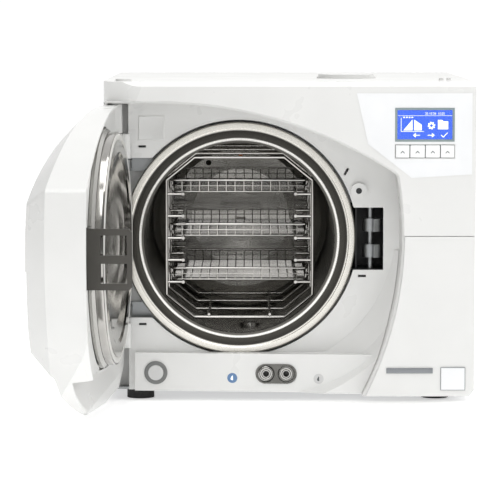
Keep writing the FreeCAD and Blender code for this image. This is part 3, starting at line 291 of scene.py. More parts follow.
FINISHES: dict[str, Finish] = {f.name: f for f in (
    # Injection-moulded ABS: white with a soft gloss and a barely visible spark-eroded grain.
    Finish("white_abs", Surface.MOULDED, "#DDDDDB", "#DBDBD9", 0.32, grain_mm=0.8, relief_mm=0.006, coat=0.15),
    Finish("white_cover", Surface.MOULDED, "#DDDDDB", "#DBDBD9", 0.36, grain_mm=0.8, relief_mm=0.006,
           coat=0.1),
    Finish("liner_white", Surface.MOULDED, "#DBDBD9", "#D8D8D6", 0.34, grain_mm=0.8, relief_mm=0.006,
           coat=0.15),
    # Powder-coated sheet steel: fine orange peel, drawn 3 mm wide so that it shows.
    Finish("cabinet_paint", Surface.PAINTED, "#DDDDDB", "#DBDBD9", 0.42, grain_mm=3.0, relief_mm=0.02),
    # Moulded nitrile rubber: near black and dull.
    Finish("rubber", Surface.MOULDED, "#1B1B1B", "#232323", 0.75, grain_mm=0.7, relief_mm=0.02),
    # Zinc-plated sheet: bluish grey with a faint rolled grain.
    Finish("zinc_steel", Surface.BRUSHED, "#A7A9AA", "#8F9192", 0.38, metallic=1.0, grain_mm=0.8,
           relief_mm=0.004),
    # Turned stainless steel: fine concentric tool marks.
    Finish("stainless", Surface.TURNED, "#B9B8B4", "#8E8D89", 0.2, metallic=1.0, grain_mm=0.9,
           relief_mm=0.003),
    # Turned flange: a satin outer rim, a near-black mirror land for the gasket and a bright inner lip.
    Finish("flange_steel", Surface.TURNED, "#F4F2EE", "#DAD8D3", 0.26, metallic=1.0, grain_mm=0.9,
           relief_mm=0.002,
           bands=((124.0, "#5A5956"), (127.8, "#6A6966"), (128.6, "#FFFFFF"), (131.0, "#FFFFFF"), (131.8,
                                                                                                   "#4E4D4A"),
                  (141.0, "#3A3937"), (142.2, "#F8F7F4"), (150.0, "#DCDBD7"), (152.0, "#8A8985"))),
    # Deep-drawn chamber steel: polished, but dark because it looks into itself.
    Finish("chamber_steel", Surface.TURNED, "#B4B2AD", "#A19F9A", 0.24, metallic=1.0, grain_mm=3.0,
           relief_mm=0.001),
    # Electropolished stainless steel: mirror bright.
    Finish("polished_steel", Surface.POLISHED, "#B7B5B1", "#A9A7A3", 0.12, metallic=1.0, grain_mm=4.0,
           relief_mm=0.004),
    # Burnished spring steel: dark grey with a slight grain.
    # Chromed die casting seen against the dark: deep grey and glossy.
    Finish("dark_chrome", Surface.POLISHED, "#6A6966", "#5C5B58", 0.16, metallic=1.0, grain_mm=3.0,
           relief_mm=0.003),
    # Chrome plate over brass: bright, with the dark side of the room in it.
    Finish("coupling_chrome", Surface.POLISHED, "#B4B3B0", "#A5A4A1", 0.14, metallic=1.0, grain_mm=3.0,
           relief_mm=0.002),
    Finish("ring_grey", Surface.MOULDED, "#7C7D7C", "#727372", 0.35, grain_mm=0.6, relief_mm=0.004),
    Finish("dark_steel", Surface.BRUSHED, "#55534F", "#474541", 0.42, metallic=0.6, grain_mm=0.6,
           relief_mm=0.004),
    Finish("black_plastic", Surface.MOULDED, "#17181A", "#1E1F21", 0.42, grain_mm=0.8, relief_mm=0.01),
    # Needled glass-fibre mat.
    Finish("insulation", Surface.WOVEN, "#CFC8B4", "#BEB6A0", 0.95, grain_mm=0.6, relief_mm=0.3),
    Finish("heater_foil", Surface.BRUSHED, "#C4C6C8", "#B2B4B6", 0.32, metallic=1.0, grain_mm=0.8,
           relief_mm=0.01),
    Finish("brass", Surface.BRUSHED, "#B79452", "#A58346", 0.3, metallic=1.0, grain_mm=0.7, relief_mm=0.004),
    Finish("copper_pipe", Surface.POLISHED, "#B9714A", "#9C5B3A", 0.28, metallic=1.0, grain_mm=2.0,
           relief_mm=0.01),
    Finish("pump_alloy", Surface.CAST, "#9A9C9E", "#86888A", 0.55, metallic=0.9, grain_mm=1.2, relief_mm=0.15),
    Finish("tank_plastic", Surface.MOULDED, "#D5DADC", "#C8CED1", 0.45, grain_mm=1.2, relief_mm=0.02),
    Finish("circuit_green", Surface.MOULDED, "#1F5A35", "#19492B", 0.4, grain_mm=2.0, relief_mm=0.02),
    # Screen-printed polyester film: satin, slightly cooler than the case.
    Finish("overlay_white", Surface.MOULDED, "#E9EAEB", "#E5E6E7", 0.45, grain_mm=0.5, relief_mm=0.004),
    Finish("bezel_grey", Surface.MOULDED, "#8A999B", "#7E8D8F", 0.4, grain_mm=0.6, relief_mm=0.004),
    Finish("screen_glass", Surface.CLEAR, "#F4F8FF", "#F4F8FF", 0.04),
    # Backlit liquid crystal: an even saturated blue.
    Finish("screen_blue", Surface.LIT, "#0F62F2", "#0B59E6", 0.35, grain_mm=0.4, relief_mm=0.002),
    Finish("icon_white", Surface.LIT, "#F2F7FF", "#E9F1FF", 0.4, grain_mm=0.4, relief_mm=0.002),
    Finish("key_white", Surface.MOULDED, "#EDEEEE", "#E8E9E9", 0.38, grain_mm=0.6, relief_mm=0.005),
    Finish("print_grey", Surface.MOULDED, "#4A4D50", "#54575A", 0.5, grain_mm=0.5, relief_mm=0.004),
    Finish("print_blue", Surface.MOULDED, "#5F7FA6", "#57769C", 0.5, grain_mm=0.5, relief_mm=0.004),
    Finish("button_grey", Surface.MOULDED, "#CFCFCE", "#C4C4C3", 0.3, grain_mm=0.6, relief_mm=0.005, coat=0.2),
    # Cured silicone: pale grey and slightly waxy.
    Finish("silicone", Surface.MOULDED, "#C9C8C4", "#BFBEBA", 0.48, grain_mm=0.9, relief_mm=0.01),
    Finish("plated", Surface.POLISHED, "#DADADA", "#CFCFCF", 0.12, metallic=1.0, grain_mm=3.0,
           relief_mm=0.003),
    Finish("nameplate_grey", Surface.BRUSHED, "#8C8F92", "#818487", 0.4, metallic=0.5, grain_mm=0.6,
           relief_mm=0.004),
)}


class FinishStore:
    """Builds each material once and hands it out by name."""

    def __init__(self) -> None:
        """Start with no materials built."""
        self.built: dict[str, bpy.types.Material] = {}

    def get(self, name: str) -> bpy.types.Material:
        """Return the material of a finish, built on first use."""
        if name not in self.built:
            self.built[name] = FINISHES[name].build()
        return self.built[name]

    def dress(self, piece: bpy.types.Object, name: str) -> None:
        """Give a piece one finish all over."""
        piece.data.materials.clear()
        piece.data.materials.append(self.get(name))


class Workshop:
    """Modelling operations shared by the sub-assemblies, with sizes in millimetres from the CAD."""

    def __init__(self, store: FinishStore) -> None:
        """Keep the material store."""
        self.store = store

    @staticmethod
    def clear() -> None:
        """Deselect everything."""
        bpy.ops.object.select_all(action="DESELECT")

    def settle(self, piece: bpy.types.Object, name: str) -> bpy.types.Object:
        """Name a piece and put its place into its mesh.

        Args:
            piece: the new object.
            name: its name.

        Returns:
            The same object, at the origin.
        """
        piece.name = name
        self.clear()
        piece.select_set(True)
        bpy.context.view_layer.objects.active = piece
        bpy.ops.object.transform_apply(location=True, rotation=True, scale=True)
        return piece

    def block(self, name: str, low: Sequence[float], high: Sequence[float],
              bevel: float = 0.0) -> bpy.types.Object:
        """Block between two corners with rounded edges.

        Args:
            name: the piece's name.
            low: lowest corner in metres.
            high: highest corner in metres.
            bevel: edge radius in metres.

        Returns:
            The block.
        """
        self.clear()
        centre = [(a + b) / 2 for a, b in zip(low, high)]
        bpy.ops.mesh.primitive_cube_add(size=1.0, location=centre)
        piece = bpy.context.object
        piece.scale = [max(b - a, 1e-5) for a, b in zip(low, high)]
        self.settle(piece, name)
        if bevel > 0:
            self.soften(piece, bevel)
        return piece

    def rod(self, name: str, start: Sequence[float], end: Sequence[float], radius: float,
            sides: int = 10) -> bpy.types.Object:
        """Round bar between two points.

        Args:
            name: the piece's name.
            start: first end in metres.
            end: second end in metres.
            radius: radius in metres.
            sides: faces round the bar.

        Returns:
            The bar.
        """
        self.clear()
        a, b = Vector(start), Vector(end)
        turn = (b - a).to_track_quat("Z", "Y").to_euler()
        bpy.ops.mesh.primitive_cylinder_add(vertices=sides, radius=radius, depth=(b - a).length,
                                            location=(a + b) / 2, rotation=turn)
        piece = self.settle(bpy.context.object, name)
        bpy.ops.object.shade_smooth_by_angle(angle=math.radians(50))
        return piece

    def modify(self, piece: bpy.types.Object, kind: str, **settings: object) -> bpy.types.Object:
        """Add a modifier and apply it.

        Args:
            piece: object to change.
            kind: modifier type.
            settings: the modifier's settings.

        Returns:
            The same object.
        """
        self.clear()
        piece.select_set(True)
        bpy.context.view_layer.objects.active = piece
        mod = piece.modifiers.new("step", kind)
        for key, value in settings.items():
            setattr(mod, key, value)
        bpy.ops.object.modifier_apply(modifier=mod.name)
        return piece

    def soften(self, piece: bpy.types.Object, radius: float, segments: int = 3) -> bpy.types.Object:
        """Round the edges of a piece."""
        self.modify(piece, "BEVEL", width=radius, segments=segments, limit_method="ANGLE")
        bpy.ops.object.shade_smooth_by_angle(angle=math.radians(35))
        return piece

    def row(self, piece: bpy.types.Object, count: int, step: Sequence[float]) -> bpy.types.Object:
        """Repeat a piece at a constant step."""
        return self.modify(piece, "ARRAY", count=count, use_relative_offset=False, use_constant_offset=True,
                           constant_offset_displace=step)

    def join(self, pieces: Iterable[bpy.types.Object], name: str) -> bpy.types.Object:
        """Join several objects into one mesh.

        Args:
            pieces: the objects.
            name: the joined object's name.

        Returns:
            The joined object.
        """
        self.clear()
        items = list(pieces)
        for item in items:
            item.select_set(True)
        bpy.context.view_layer.objects.active = items[0]
        if len(items) > 1:
            bpy.ops.object.join()
        items[0].name = name
        return items[0]

    def wire_ring(self, name: str, corners: Sequence[Vector], radius: float, bend: float) -> bpy.types.Object:
        """Closed round wire with bent corners, swept along a curve and made a mesh.

        Args:
            name: the piece's name.
            corners: corner points in metres, in order.
            radius: wire radius in metres.
            bend: length of each bend in metres.

        Returns:
            The wire.
        """
        curve = bpy.data.curves.new(name, "CURVE")
        curve.dimensions = "3D"
        curve.bevel_depth = radius
        curve.bevel_resolution = 2
        count = len(corners)
        points: list[Vector] = []
        for i, corner in enumerate(corners):
            before = (corners[i - 1] - corner).normalized()
            after = (corners[(i + 1) % count] - corner).normalized()
            for t in (0.0, 0.25, 0.5, 0.75, 1.0):
                a = corner + before * bend
                b = corner + after * bend
                points.append(a * (1 - t) ** 2 + corner * 2 * t * (1 - t) + b * t ** 2)
        spline = curve.splines.new("POLY")
        spline.points.add(len(points) - 1)
        for point, place in zip(spline.points, points):
            point.co = (*place, 1.0)
        spline.use_cyclic_u = True
        piece = bpy.data.objects.new(name, curve)
        bpy.context.scene.collection.objects.link(piece)
        self.clear()
        piece.select_set(True)
        bpy.context.view_layer.objects.active = piece
        bpy.ops.object.convert(target="MESH")
        piece = self.settle(bpy.context.object, name)
        bpy.ops.object.shade_smooth_by_angle(angle=math.radians(60))
        return piece

    def disc(self, name: str, centre: Sequence[float], radius: float, thick: float, sides: int = 40,
             bevel: float = 0.0) -> bpy.types.Object:
        """Flat round piece facing the front.

        Args:
            name: the piece's name.
            centre: centre of its front face in metres.
            radius: radius in metres.
            thick: thickness in metres.
            sides: faces round the rim.
            bevel: edge radius in metres.

        Returns:
            The disc.
        """
        x, y, z = centre
        piece = self.rod(name, (x, y, z), (x, y + thick, z), radius, sides)
        if bevel > 0:
            self.soften(piece, bevel, 2)
        return piece

    def outline(self, name: str, points: Sequence[tuple[float, float]], y: float,
                thick: float) -> bpy.types.Object:
        """Flat plate facing the front with a free outline, extruded back from a filled face.

        Args:
            name: the piece's name.
            points: X and Z of the outline in millimetres.
            y: the front face's Y in metres.
            thick: thickness in metres.

        Returns:
            The plate.
        """
        self.clear()
        bpy.ops.mesh.primitive_circle_add(vertices=len(points), radius=1.0, fill_type="NGON")
        piece = bpy.context.object
        for vertex, (x, z) in zip(piece.data.vertices, points):
            vertex.co = (x * MM, y, z * MM)
        bpy.ops.object.mode_set(mode="EDIT")
        bpy.ops.mesh.select_all(action="SELECT")
        bpy.ops.mesh.extrude_region_move(TRANSFORM_OT_translate={"value": (0.0, thick, 0.0)})
        bpy.ops.mesh.select_all(action="SELECT")
        bpy.ops.mesh.normals_make_consistent(inside=False)
        bpy.ops.object.mode_set(mode="OBJECT")
        return self.settle(piece, name)

    def place(self, piece: bpy.types.Object, finish: str, body: str, slot: str,
              *nodes: str) -> bpy.types.Object:
        """Dress a finished piece and fix it to a body of the frame.

        Args:
            piece: the finished piece.
            finish: name of its finish.
            body: body that it rides on.
            slot: the record's material slot.
            nodes: CAD nodes that it replaces.

        Returns:
            The same piece.
        """
        self.store.dress(piece, finish)
        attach(piece, body)
        if nodes:
            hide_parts(*nodes)
        LOG.info("%s rides on %s", piece.name, body)
        return piece


@dataclass
class WireTray:
    """Shallow basket tray of welded stainless wire."""

    shop: Workshop
    node: str
    rim: float = 1.6 * MM
    wire: float = 0.72 * MM
    pitch: float = 12.0 * MM
    bend: float = 7.0 * MM

    def build(self) -> bpy.types.Object:
        """Model the tray's rims, floor mesh and side wires.

        Returns:
            The tray.
        """
        low, high = [Vector(c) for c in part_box(self.node)]
        x0, y0 = low.x + self.rim, low.y + self.rim
        x1, y1 = high.x - self.rim, high.y - self.rim
        top = high.z - self.rim
        foot = low.z + self.wire * 1.3
        parts = [self.ring("rim", x0, x1, y0, y1, top, self.rim),
                 self.ring("foot", x0 + 2 * MM, x1 - 2 * MM, y0 + 2 * MM, y1 - 2 * MM, foot, self.wire * 1.3),
                 self.ring("band", x0 + 1 * MM, x1 - 1 * MM, y0 + 1 * MM, y1 - 1 * MM, (top + foot) / 2,
                           self.wire)]
        across = max(2, round((x1 - x0 - 4 * MM) / self.pitch))
        along = max(2, round((y1 - y0 - 4 * MM) / self.pitch))
        dx = (x1 - x0 - 4 * MM) / across
        dy = (y1 - y0 - 4 * MM) / along
        xa, ya = x0 + 2 * MM, y0 + 2 * MM
        xb, yb = x1 - 2 * MM, y1 - 2 * MM
        shop = self.shop
        parts.append(shop.row(shop.rod("long", (xa + dx, ya, foot), (xa + dx, yb, foot), self.wire, 6),
                              across - 1, (dx, 0, 0)))
        parts.append(shop.row(shop.rod("cross", (xa, ya + dy, foot + self.wire), (xb, ya + dy,
                                                                                  foot + self.wire),
                                       self.wire, 6), along - 1, (0, dy, 0)))
        for y, lean in ((ya, -1), (yb, 1)):
            rod = shop.rod("end", (xa + dx, y, foot), (xa + dx, y + lean * 1.5 * MM, top), self.wire, 6)
            parts.append(shop.row(rod, across - 1, (dx, 0, 0)))
        for x, lean in ((xa, -1), (xb, 1)):
            rod = shop.rod("side", (x, ya + dy, foot), (x + lean * 1.5 * MM, ya + dy, top), self.wire, 6)
            parts.append(shop.row(rod, along - 1, (0, dy, 0)))
        tray = shop.join(parts, "wire_" + self.node)
        return shop.place(tray, "polished_steel", self.node, "polished_steel", self.node)

    def ring(self, name: str, x0: float, x1: float, y0: float, y1: float, z: float,
             r: float) -> bpy.types.Object:
        """Closed rectangular wire at one height."""
        corners = [Vector((x0, y0, z)), Vector((x1, y0, z)), Vector((x1, y1, z)), Vector((x0, y1, z))]
        return self.shop.wire_ring(name, corners, r, self.bend)


@dataclass
class Screen:
    """Picture elements on the display and printed marks on the control panel."""

    shop: Workshop
    thick: float = 0.05 * MM
    x0: float = 139.6
    x1: float = 208.9
    z0: float = 347.1
    z1: float = 383.4
    parts: list[bpy.types.Object] = field(default_factory=list)

    def at(self, u: float, v: float) -> tuple[float, float]:
        """Point on the screen in millimetres from shares of its width and height."""
        return self.x0 + (self.x1 - self.x0) * u, self.z0 + (self.z1 - self.z0) * v

    def shape(self, name: str, points: Sequence[tuple[float, float]]) -> None:
        """Add one filled shape, given in shares of the screen."""
        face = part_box("display_bezel")[0][1] - 0.02 * MM
        self.parts.append(self.shop.outline(name, [self.at(u, v) for u, v in points], face, self.thick))

    def bar(self, u0: float, v0: float, u1: float, v1: float, wide: float = 0.9) -> None:
        """Add a straight line of a width in millimetres."""
        a, b = Vector(self.at(u0, v0)), Vector(self.at(u1, v1))
        side = Vector((-(b - a).y, (b - a).x)).normalized() * wide / 2
        pts = [a - side, b - side, b + side, a + side]
        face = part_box("display_bezel")[0][1] - 0.02 * MM
        self.parts.append(self.shop.outline("bar", [(p.x, p.y) for p in pts], face, self.thick))

    def gear(self, u: float, v: float, radius: float) -> None:
        """Add a toothed wheel with a hole, as a ring of quads."""
        cx, cz = self.at(u, v)
        count = 8
        for k in range(count * 2):
            a0 = math.pi * k / count
            a1 = math.pi * (k + 1) / count
            outer = radius if k % 2 == 0 else radius * 0.78
            pts = [(cx + r * math.cos(a), cz + r * math.sin(a))
                   for r, a in ((radius * 0.38, a0), (outer, a0), (outer, a1), (radius * 0.38, a1))]
            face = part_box("display_bezel")[0][1] - 0.02 * MM
            self.parts.append(self.shop.outline("tooth", pts, face, self.thick))

    def digits(self, text: str, u: float, v: float, size: float) -> None:
        """Add a number in plain type."""
        self.shop.clear()
        x, z = self.at(u, v)
        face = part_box("display_bezel")[0][1] - 0.02 * MM
        bpy.ops.object.text_add(location=(x * MM, face, z * MM), rotation=(math.pi / 2, 0, 0))
        label = bpy.context.object
        label.data.body = text
        label.data.size = size * MM
        label.data.extrude = self.thick / 2
        bpy.ops.object.convert(target="MESH")
        self.parts.append(self.shop.settle(bpy.context.object, "digits"))

    def build(self) -> None:
        """Model the picture of a cycle curve, a wheel, a folder and arrows, and fix it to the cabinet."""
        self.digits("20 10 26  10:25", 0.50, 0.86, 4.0)
        self.bar(0.0, 0.82, 1.0, 0.82, 0.4)
        self.shape("slope", [(0.10, 0.30), (0.27, 0.30), (0.27, 0.68)])
        self.shape("hold", [(0.30, 0.30), (0.44, 0.30), (0.44, 0.50), (0.30, 0.68)])
        self.bar(0.06, 0.26, 0.48, 0.26, 0.6)
        self.bar(0.06, 0.26, 0.06, 0.74, 0.6)
        self.gear(0.62, 0.47, 5.0)
        self.shape("folder", [(0.74, 0.34), (0.93, 0.34), (0.93, 0.62), (0.84, 0.62), (0.82, 0.67), (0.74,
                                                                                                     0.67)])
        for u, way in ((0.36, -1), (0.60, 1)):
            self.bar(u - 0.05, 0.13, u + 0.05, 0.13, 0.9)
            tip = u + 0.08 * way
            self.shape("head", [(tip, 0.13), (u + 0.03 * way, 0.21), (u + 0.03 * way, 0.05)])
        self.bar(0.84, 0.06, 0.92, 0.22, 1.0)
        self.bar(0.80, 0.14, 0.84, 0.06, 1.0)
        for k in range(4):
            self.bar(0.10 + 0.05 * k, 0.76, 0.13 + 0.05 * k, 0.76, 1.6)
        icons = self.shop.join(self.parts, "screen_icons")
        self.shop.place(icons, "icon_white", "cabinet", "screen_blue")


@dataclass
class ControlMarks:
    """Chevrons on the keys and the printed marks on the drain panel."""

    shop: Workshop
    arm: float = 2.4
    panel_lean: float = math.atan(24 / 301)

    def chevron(self, node: str) -> None:
        """Model an upward chevron on a key's face."""
        low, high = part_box(node)
        cx = (low[0] + high[0]) / 2 / MM
        cz = (low[2] + high[2]) / 2 / MM - 0.6
        pts = [(cx - self.arm, cz - 0.9), (cx, cz + 1.5), (cx + self.arm, cz - 0.9), (cx + self.arm,
                                                                                      cz - 0.9 - 1.3),
               (cx, cz + 1.5 - 1.4), (cx - self.arm, cz - 0.9 - 1.3)]
        face = low[1] - 0.04 * MM
        mark = self.shop.outline("mark_" + node, pts, face, 0.2 * MM)
        self.shop.place(mark, "print_grey", node, "key_white")

    def key_cap(self, node: str) -> None:
        """Model a key with softened edges over its plain block."""
        low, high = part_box(node)
        cap = self.shop.block("cap_" + node, low, high, 0.7 * MM)
        self.shop.place(cap, "key_white", node, "key_white", node)

    def lean(self, piece: bpy.types.Object, x: float, face: float) -> None:
        """Turn a mark so that it lies flat on the slanting drain panel."""
        pivot = Matrix.Translation((x * MM, face, 0))
        piece.data.transform(pivot @ Matrix.Rotation(-self.panel_lean, 4, "Z") @ pivot.inverted())

    def drop(self, name: str, x: float, z: float, face: float, finish: str) -> None:
        """Model a round printed badge with a simple drop on it."""
        badge = self.shop.disc(name + "_disc", (x * MM, face, z * MM), 6.6 * MM, 0.35 * MM, 36, 0.12 * MM)
        self.lean(badge, x, face)
        self.shop.place(badge, finish, "cabinet", "white_abs")
        pts = []
        for k in range(14):
            a = math.radians(-60 - 240 * k / 13)
            pts.append((x + 2.1 * math.cos(a), z - 0.8 + 2.1 * math.sin(a)))
        pts.append((x, z + 3.6))
        mark = self.shop.outline(name + "_drop", pts, face - 0.06 * MM, 0.2 * MM)
        self.lean(mark, x, face)
        self.shop.place(mark, "icon_white" if finish == "print_blue" else "print_grey", "cabinet", "white_abs")

    def build(self) -> None:
        """Model every mark."""
        for k in range(1, 5):
            self.key_cap(f"key_{k}")
            self.chevron(f"key_{k}")
        self.drop("clean_drain_mark", -73.2, 31.9, -0.2234, "print_blue")
        self.drop("used_drain_mark", 39.5, 31.9, -0.2324, "button_grey")


@dataclass
class FrontDetails:
    """Small moulded features of the pocket floor and the drain panel."""

    shop: Workshop
    slots: tuple[tuple[float, float, float], ...] = (
        (-191.0, 334.0, 0.0), (-191.0, 100.5, 0.0), (97.0, 164.0, 0.0), (-66.0, 47.5, 0.0), (76.0, 301.0,
                                                                                             60.0))
    floor_y: float = -0.2020
    coupling_radius: float = 11.0 * MM
    groove_radii: tuple[float, ...] = (5.6 * MM, 8.2 * MM)

    def slot_backs(self) -> None:
        """Model the dark clips seen inside the floor's slots."""
        parts = []
        for x, z, turn in self.slots:
            block = self.shop.block("clip", (x * MM - 4.6 * MM, self.floor_y + 0.6 * MM, z * MM - 1.3 * MM),
                                    (x * MM + 4.6 * MM, self.floor_y + 2.6 * MM, z * MM + 1.3 * MM), 0.3 * MM)
            if turn:
                self.shop.clear()
                block.select_set(True)
                bpy.context.view_layer.objects.active = block
                spin = Matrix.Translation((x * MM, 0, z * MM)) @ Matrix.Rotation(math.radians(turn), 4, "Y")
                block.data.transform(spin @ Matrix.Translation((-x * MM, 0, -z * MM)))
            parts.append(block)
        self.shop.place(self.shop.join(parts, "slot_clips"), "black_plastic", "cabinet", "black_plastic")

    def raised_frame(self) -> None:
        """Model the softly raised square on the pocket floor, left blank."""
        outer = self.shop.block("raised_square", (-0.196, self.floor_y - 0.8 * MM, 0.342),
                                (-0.162, self.floor_y + 0.2 * MM, 0.374), 0.6 * MM)
        self.shop.clear()
        outer.select_set(True)
        bpy.context.view_layer.objects.active = outer
        bpy.ops.object.mode_set(mode="EDIT")
        bpy.ops.mesh.select_all(action="DESELECT")
        bpy.ops.object.mode_set(mode="OBJECT")
        for face in outer.data.polygons:
            face.select = face.normal.y < -0.9 and face.area > 1e-4
        bpy.ops.object.mode_set(mode="EDIT")
        bpy.ops.mesh.inset(thickness=1.6 * MM, depth=-0.5 * MM)
        bpy.ops.object.mode_set(mode="OBJECT")
        self.shop.place(outer, "white_abs", "cabinet", "white_abs")

    def coupling_grooves(self) -> None:
        """Model the dark grooves turned into the two drain couplings."""
        low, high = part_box("drain_couplings")
        reach = self.coupling_radius
        for side, x in (("left", low[0] + reach), ("right", high[0] - reach)):
            rings = []
            for radius in self.groove_radii:
                self.shop.clear()
                bpy.ops.mesh.primitive_torus_add(
                    major_radius=radius, minor_radius=0.55 * MM, major_segments=40, minor_segments=8,
                    location=(x, low[1] + 0.15 * MM, (low[2] + high[2]) / 2), rotation=(math.pi / 2, 0, 0))
                rings.append(self.shop.settle(bpy.context.object, "groove"))
            self.shop.place(self.shop.join(rings, f"{side}_coupling_grooves"), "dark_steel", "cabinet",
                            "dark_steel")

    def nameplate(self) -> None:
        """Model the blank nameplate bar and badge with softened edges."""
        low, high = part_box("nameplate")
        bar = self.shop.block("name_bar", (0.126, low[1], 0.044), (0.186, low[1] + 1.0 * MM, 0.051), 0.4 * MM)
        badge = self.shop.block("name_badge", (0.196, low[1], 0.022), (0.228, low[1] + 1.0 * MM, 0.052),
                                0.4 * MM)
        plate = self.shop.block("badge_face", (0.1968, low[1] - 0.02 * MM, 0.0228), (0.2272,
                                                                                     low[1] + 0.8 * MM, 0.0512),
                                0.1 * MM)
        self.shop.place(bar, "nameplate_grey", "cabinet", "nameplate_grey", "nameplate")
        self.shop.place(badge, "nameplate_grey", "cabinet", "nameplate_grey")
        self.shop.place(plate, "overlay_white", "cabinet", "overlay_white")

    def build(self) -> None:
        """Model every small feature."""
        self.slot_backs()
        self.raised_frame()
        self.coupling_grooves()
        self.nameplate()


@dataclass
class DressFrame:
    """Puts the finishes on the frame's own nodes."""

    store: FinishStore
    frame: dict
    special: dict[str, str] = field(default_factory=lambda: {
        "chamber_flange": "flange_steel", "chamber_vessel": "chamber_steel",
        "drain_bezel": "dark_chrome", "button_ring": "ring_grey", "drain_couplings": "coupling_chrome"})

    def build(self) -> None:
        """Assign each node the finish of its material slot."""
        slots = {s["node"]: s["material_slot"] for s in self.frame["record"]["subparts"]}
        slots.update(self.special)
        for node, piece in self.frame["nodes"].items():
            finish = slots.get(node)
            if finish not in FINISHES:
                LOG.warning("no finish for %s", node)
                continue
            if not piece.material_slots:
                piece.data.materials.append(self.store.get(finish))
            for place in piece.material_slots:
                place.material = self.store.get(finish)
        LOG.info("dressed %d nodes", len(slots))


@dataclass(frozen=True)
class Lamp:
    """One square soft light: metres for its place, aim and side, watts for its power."""

    name: str
    place: tuple[float, float, float]
    aim: tuple[float, float, float]
    size: float
    power: float


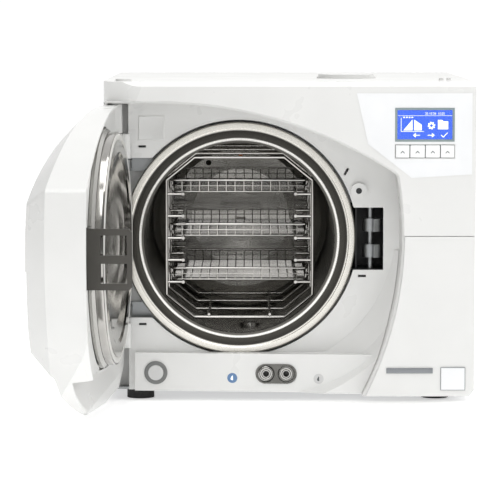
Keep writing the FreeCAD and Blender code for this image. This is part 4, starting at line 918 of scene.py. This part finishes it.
@dataclass
class Studio:
    """Camera, soft lights, sky and floor."""

    front_y: float = -0.270
    distance: float = 3.6
    eye_x: float = -0.050
    eye_z: float = 0.513
    aim_z: float = 0.204
    view_width: float = 0.6435
    floor_glow: float = 0.45
    lamps: tuple[Lamp, ...] = (
        Lamp("key", (-0.7, -2.3, 2.5), (0, -0.2, 0.2), 1.4, 24),
        Lamp("fill", (2.0, -2.4, 1.4), (0, -0.2, 0.2), 1.8, 6),
        Lamp("top", (0.2, -0.7, 2.6), (0, -0.1, 0.2), 1.8, 32),
        Lamp("front", (-0.05, -3.3, 0.9), (-0.06, -0.2, 0.21), 0.5, 4))

    def camera(self) -> None:
        """Place the camera in front of the door, a little above it."""
        data = bpy.data.cameras.new("camera")
        eye = Vector((self.eye_x, self.front_y - self.distance, self.eye_z))
        aim = Vector((self.eye_x, self.front_y, self.aim_z))
        data.sensor_width = 36.0
        data.lens = 36.0 * (aim - eye).length / self.view_width
        data.clip_end = 50.0
        cam = bpy.data.objects.new("camera", data)
        cam.location = eye
        cam.rotation_euler = (aim - eye).to_track_quat("-Z", "Y").to_euler()
        bpy.context.scene.collection.objects.link(cam)
        bpy.context.scene.camera = cam

    def lamp(self, lamp: Lamp) -> None:
        """Add one square soft light.

        Args:
            lamp: its name, place, aim, size and power.
        """
        data = bpy.data.lights.new(lamp.name, "AREA")
        data.size = lamp.size
        data.energy = lamp.power
        light = bpy.data.objects.new(lamp.name, data)
        light.location = lamp.place
        light.rotation_euler = (Vector(lamp.aim) - Vector(lamp.place)).to_track_quat("-Z", "Y").to_euler()
        bpy.context.scene.collection.objects.link(light)

    def sky(self) -> None:
        """White room that is dark on the viewer's side, so that polished steel has something dark to show."""
        world = bpy.data.worlds.new("room")
        world.use_nodes = True
        tree = world.node_tree
        tree.nodes.clear()
        out = add_node(tree, "ShaderNodeOutputWorld")
        way = add_node(tree, "ShaderNodeTexCoord").outputs["Generated"]
        split = add_node(tree, "ShaderNodeSeparateXYZ", {}, {0: way})
        ramp = add_node(tree, "ShaderNodeValToRGB", {}, {"Fac": add_node(
            tree, "ShaderNodeMapRange", {"From Min": -1.0,
                                         "From Max": 1.0}, {"Value": split.outputs["Y"]}).outputs[0]})
        ramp.color_ramp.elements[0].position = 0.04
        ramp.color_ramp.elements[0].color = (0.16, 0.16, 0.16, 1)
        ramp.color_ramp.elements[1].position = 0.42
        ramp.color_ramp.elements[1].color = (0.56, 0.56, 0.56, 1)
        ramp.color_ramp.elements.new(0.85).color = (1.05, 1.05, 1.05, 1)
        side = add_node(tree, "ShaderNodeMapRange", {"From Min": -0.8, "From Max": -0.15, "To Min": 0.3,
                                                     "To Max": 1.0}, {"Value": split.outputs["X"]})
        right = add_node(tree, "ShaderNodeMapRange", {"From Min": 0.2, "From Max": 0.9, "To Min": 1.0,
                                                      "To Max": 1.7}, {"Value": split.outputs["X"]})
        both = add_node(tree, "ShaderNodeMath", {"operation": "MULTIPLY"}, {0: side.outputs[0],
                                                                            1: right.outputs[0]})
        shade = add_node(tree, "ShaderNodeVectorMath", {"operation": "MULTIPLY"},
                         {0: ramp.outputs[0], 1: both.outputs[0]})
        back = add_node(tree, "ShaderNodeBackground", {"Strength": 1.0}, {"Color": shade.outputs[0]})
        tree.links.new(back.outputs[0], out.inputs[0])
        bpy.context.scene.world = world

    def floor(self, shop: Workshop) -> None:
        """Wide pale floor."""
        shop.clear()
        bpy.ops.mesh.primitive_plane_add(size=30.0, location=(0, 0, -0.0005))
        plane = shop.settle(bpy.context.object, "floor")
        mat = bpy.data.materials.new("pale_floor")
        mat.use_nodes = True
        shader = mat.node_tree.nodes["Principled BSDF"]
        shader.inputs["Base Color"].default_value = (0.95, 0.95, 0.95, 1)
        shader.inputs["Roughness"].default_value = 0.9
        shader.inputs["Specular IOR Level"].default_value = 0.1
        shader.inputs["Emission Color"].default_value = (1, 1, 1, 1)
        shader.inputs["Emission Strength"].default_value = self.floor_glow
        plane.data.materials.append(mat)

    def build(self, shop: Workshop) -> None:
        """Set up the whole studio."""
        self.camera()
        self.sky()
        self.floor(shop)
        for lamp in self.lamps:
            self.lamp(lamp)
        bpy.context.scene.view_settings.view_transform = "Standard"


def main() -> None:
    """Load the frame, build every sub-assembly and report it."""
    logging.basicConfig(level=logging.INFO, format="%(name)s %(message)s")
    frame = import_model()
    store = FinishStore()
    shop = Workshop(store)
    Studio().build(shop)
    DressFrame(store, frame).build()
    for level in ("upper", "middle", "lower"):
        WireTray(shop, f"tray_{level}").build()
    Screen(shop).build()
    ControlMarks(shop).build()
    FrontDetails(shop).build()


if __name__ == "__main__":
    main()
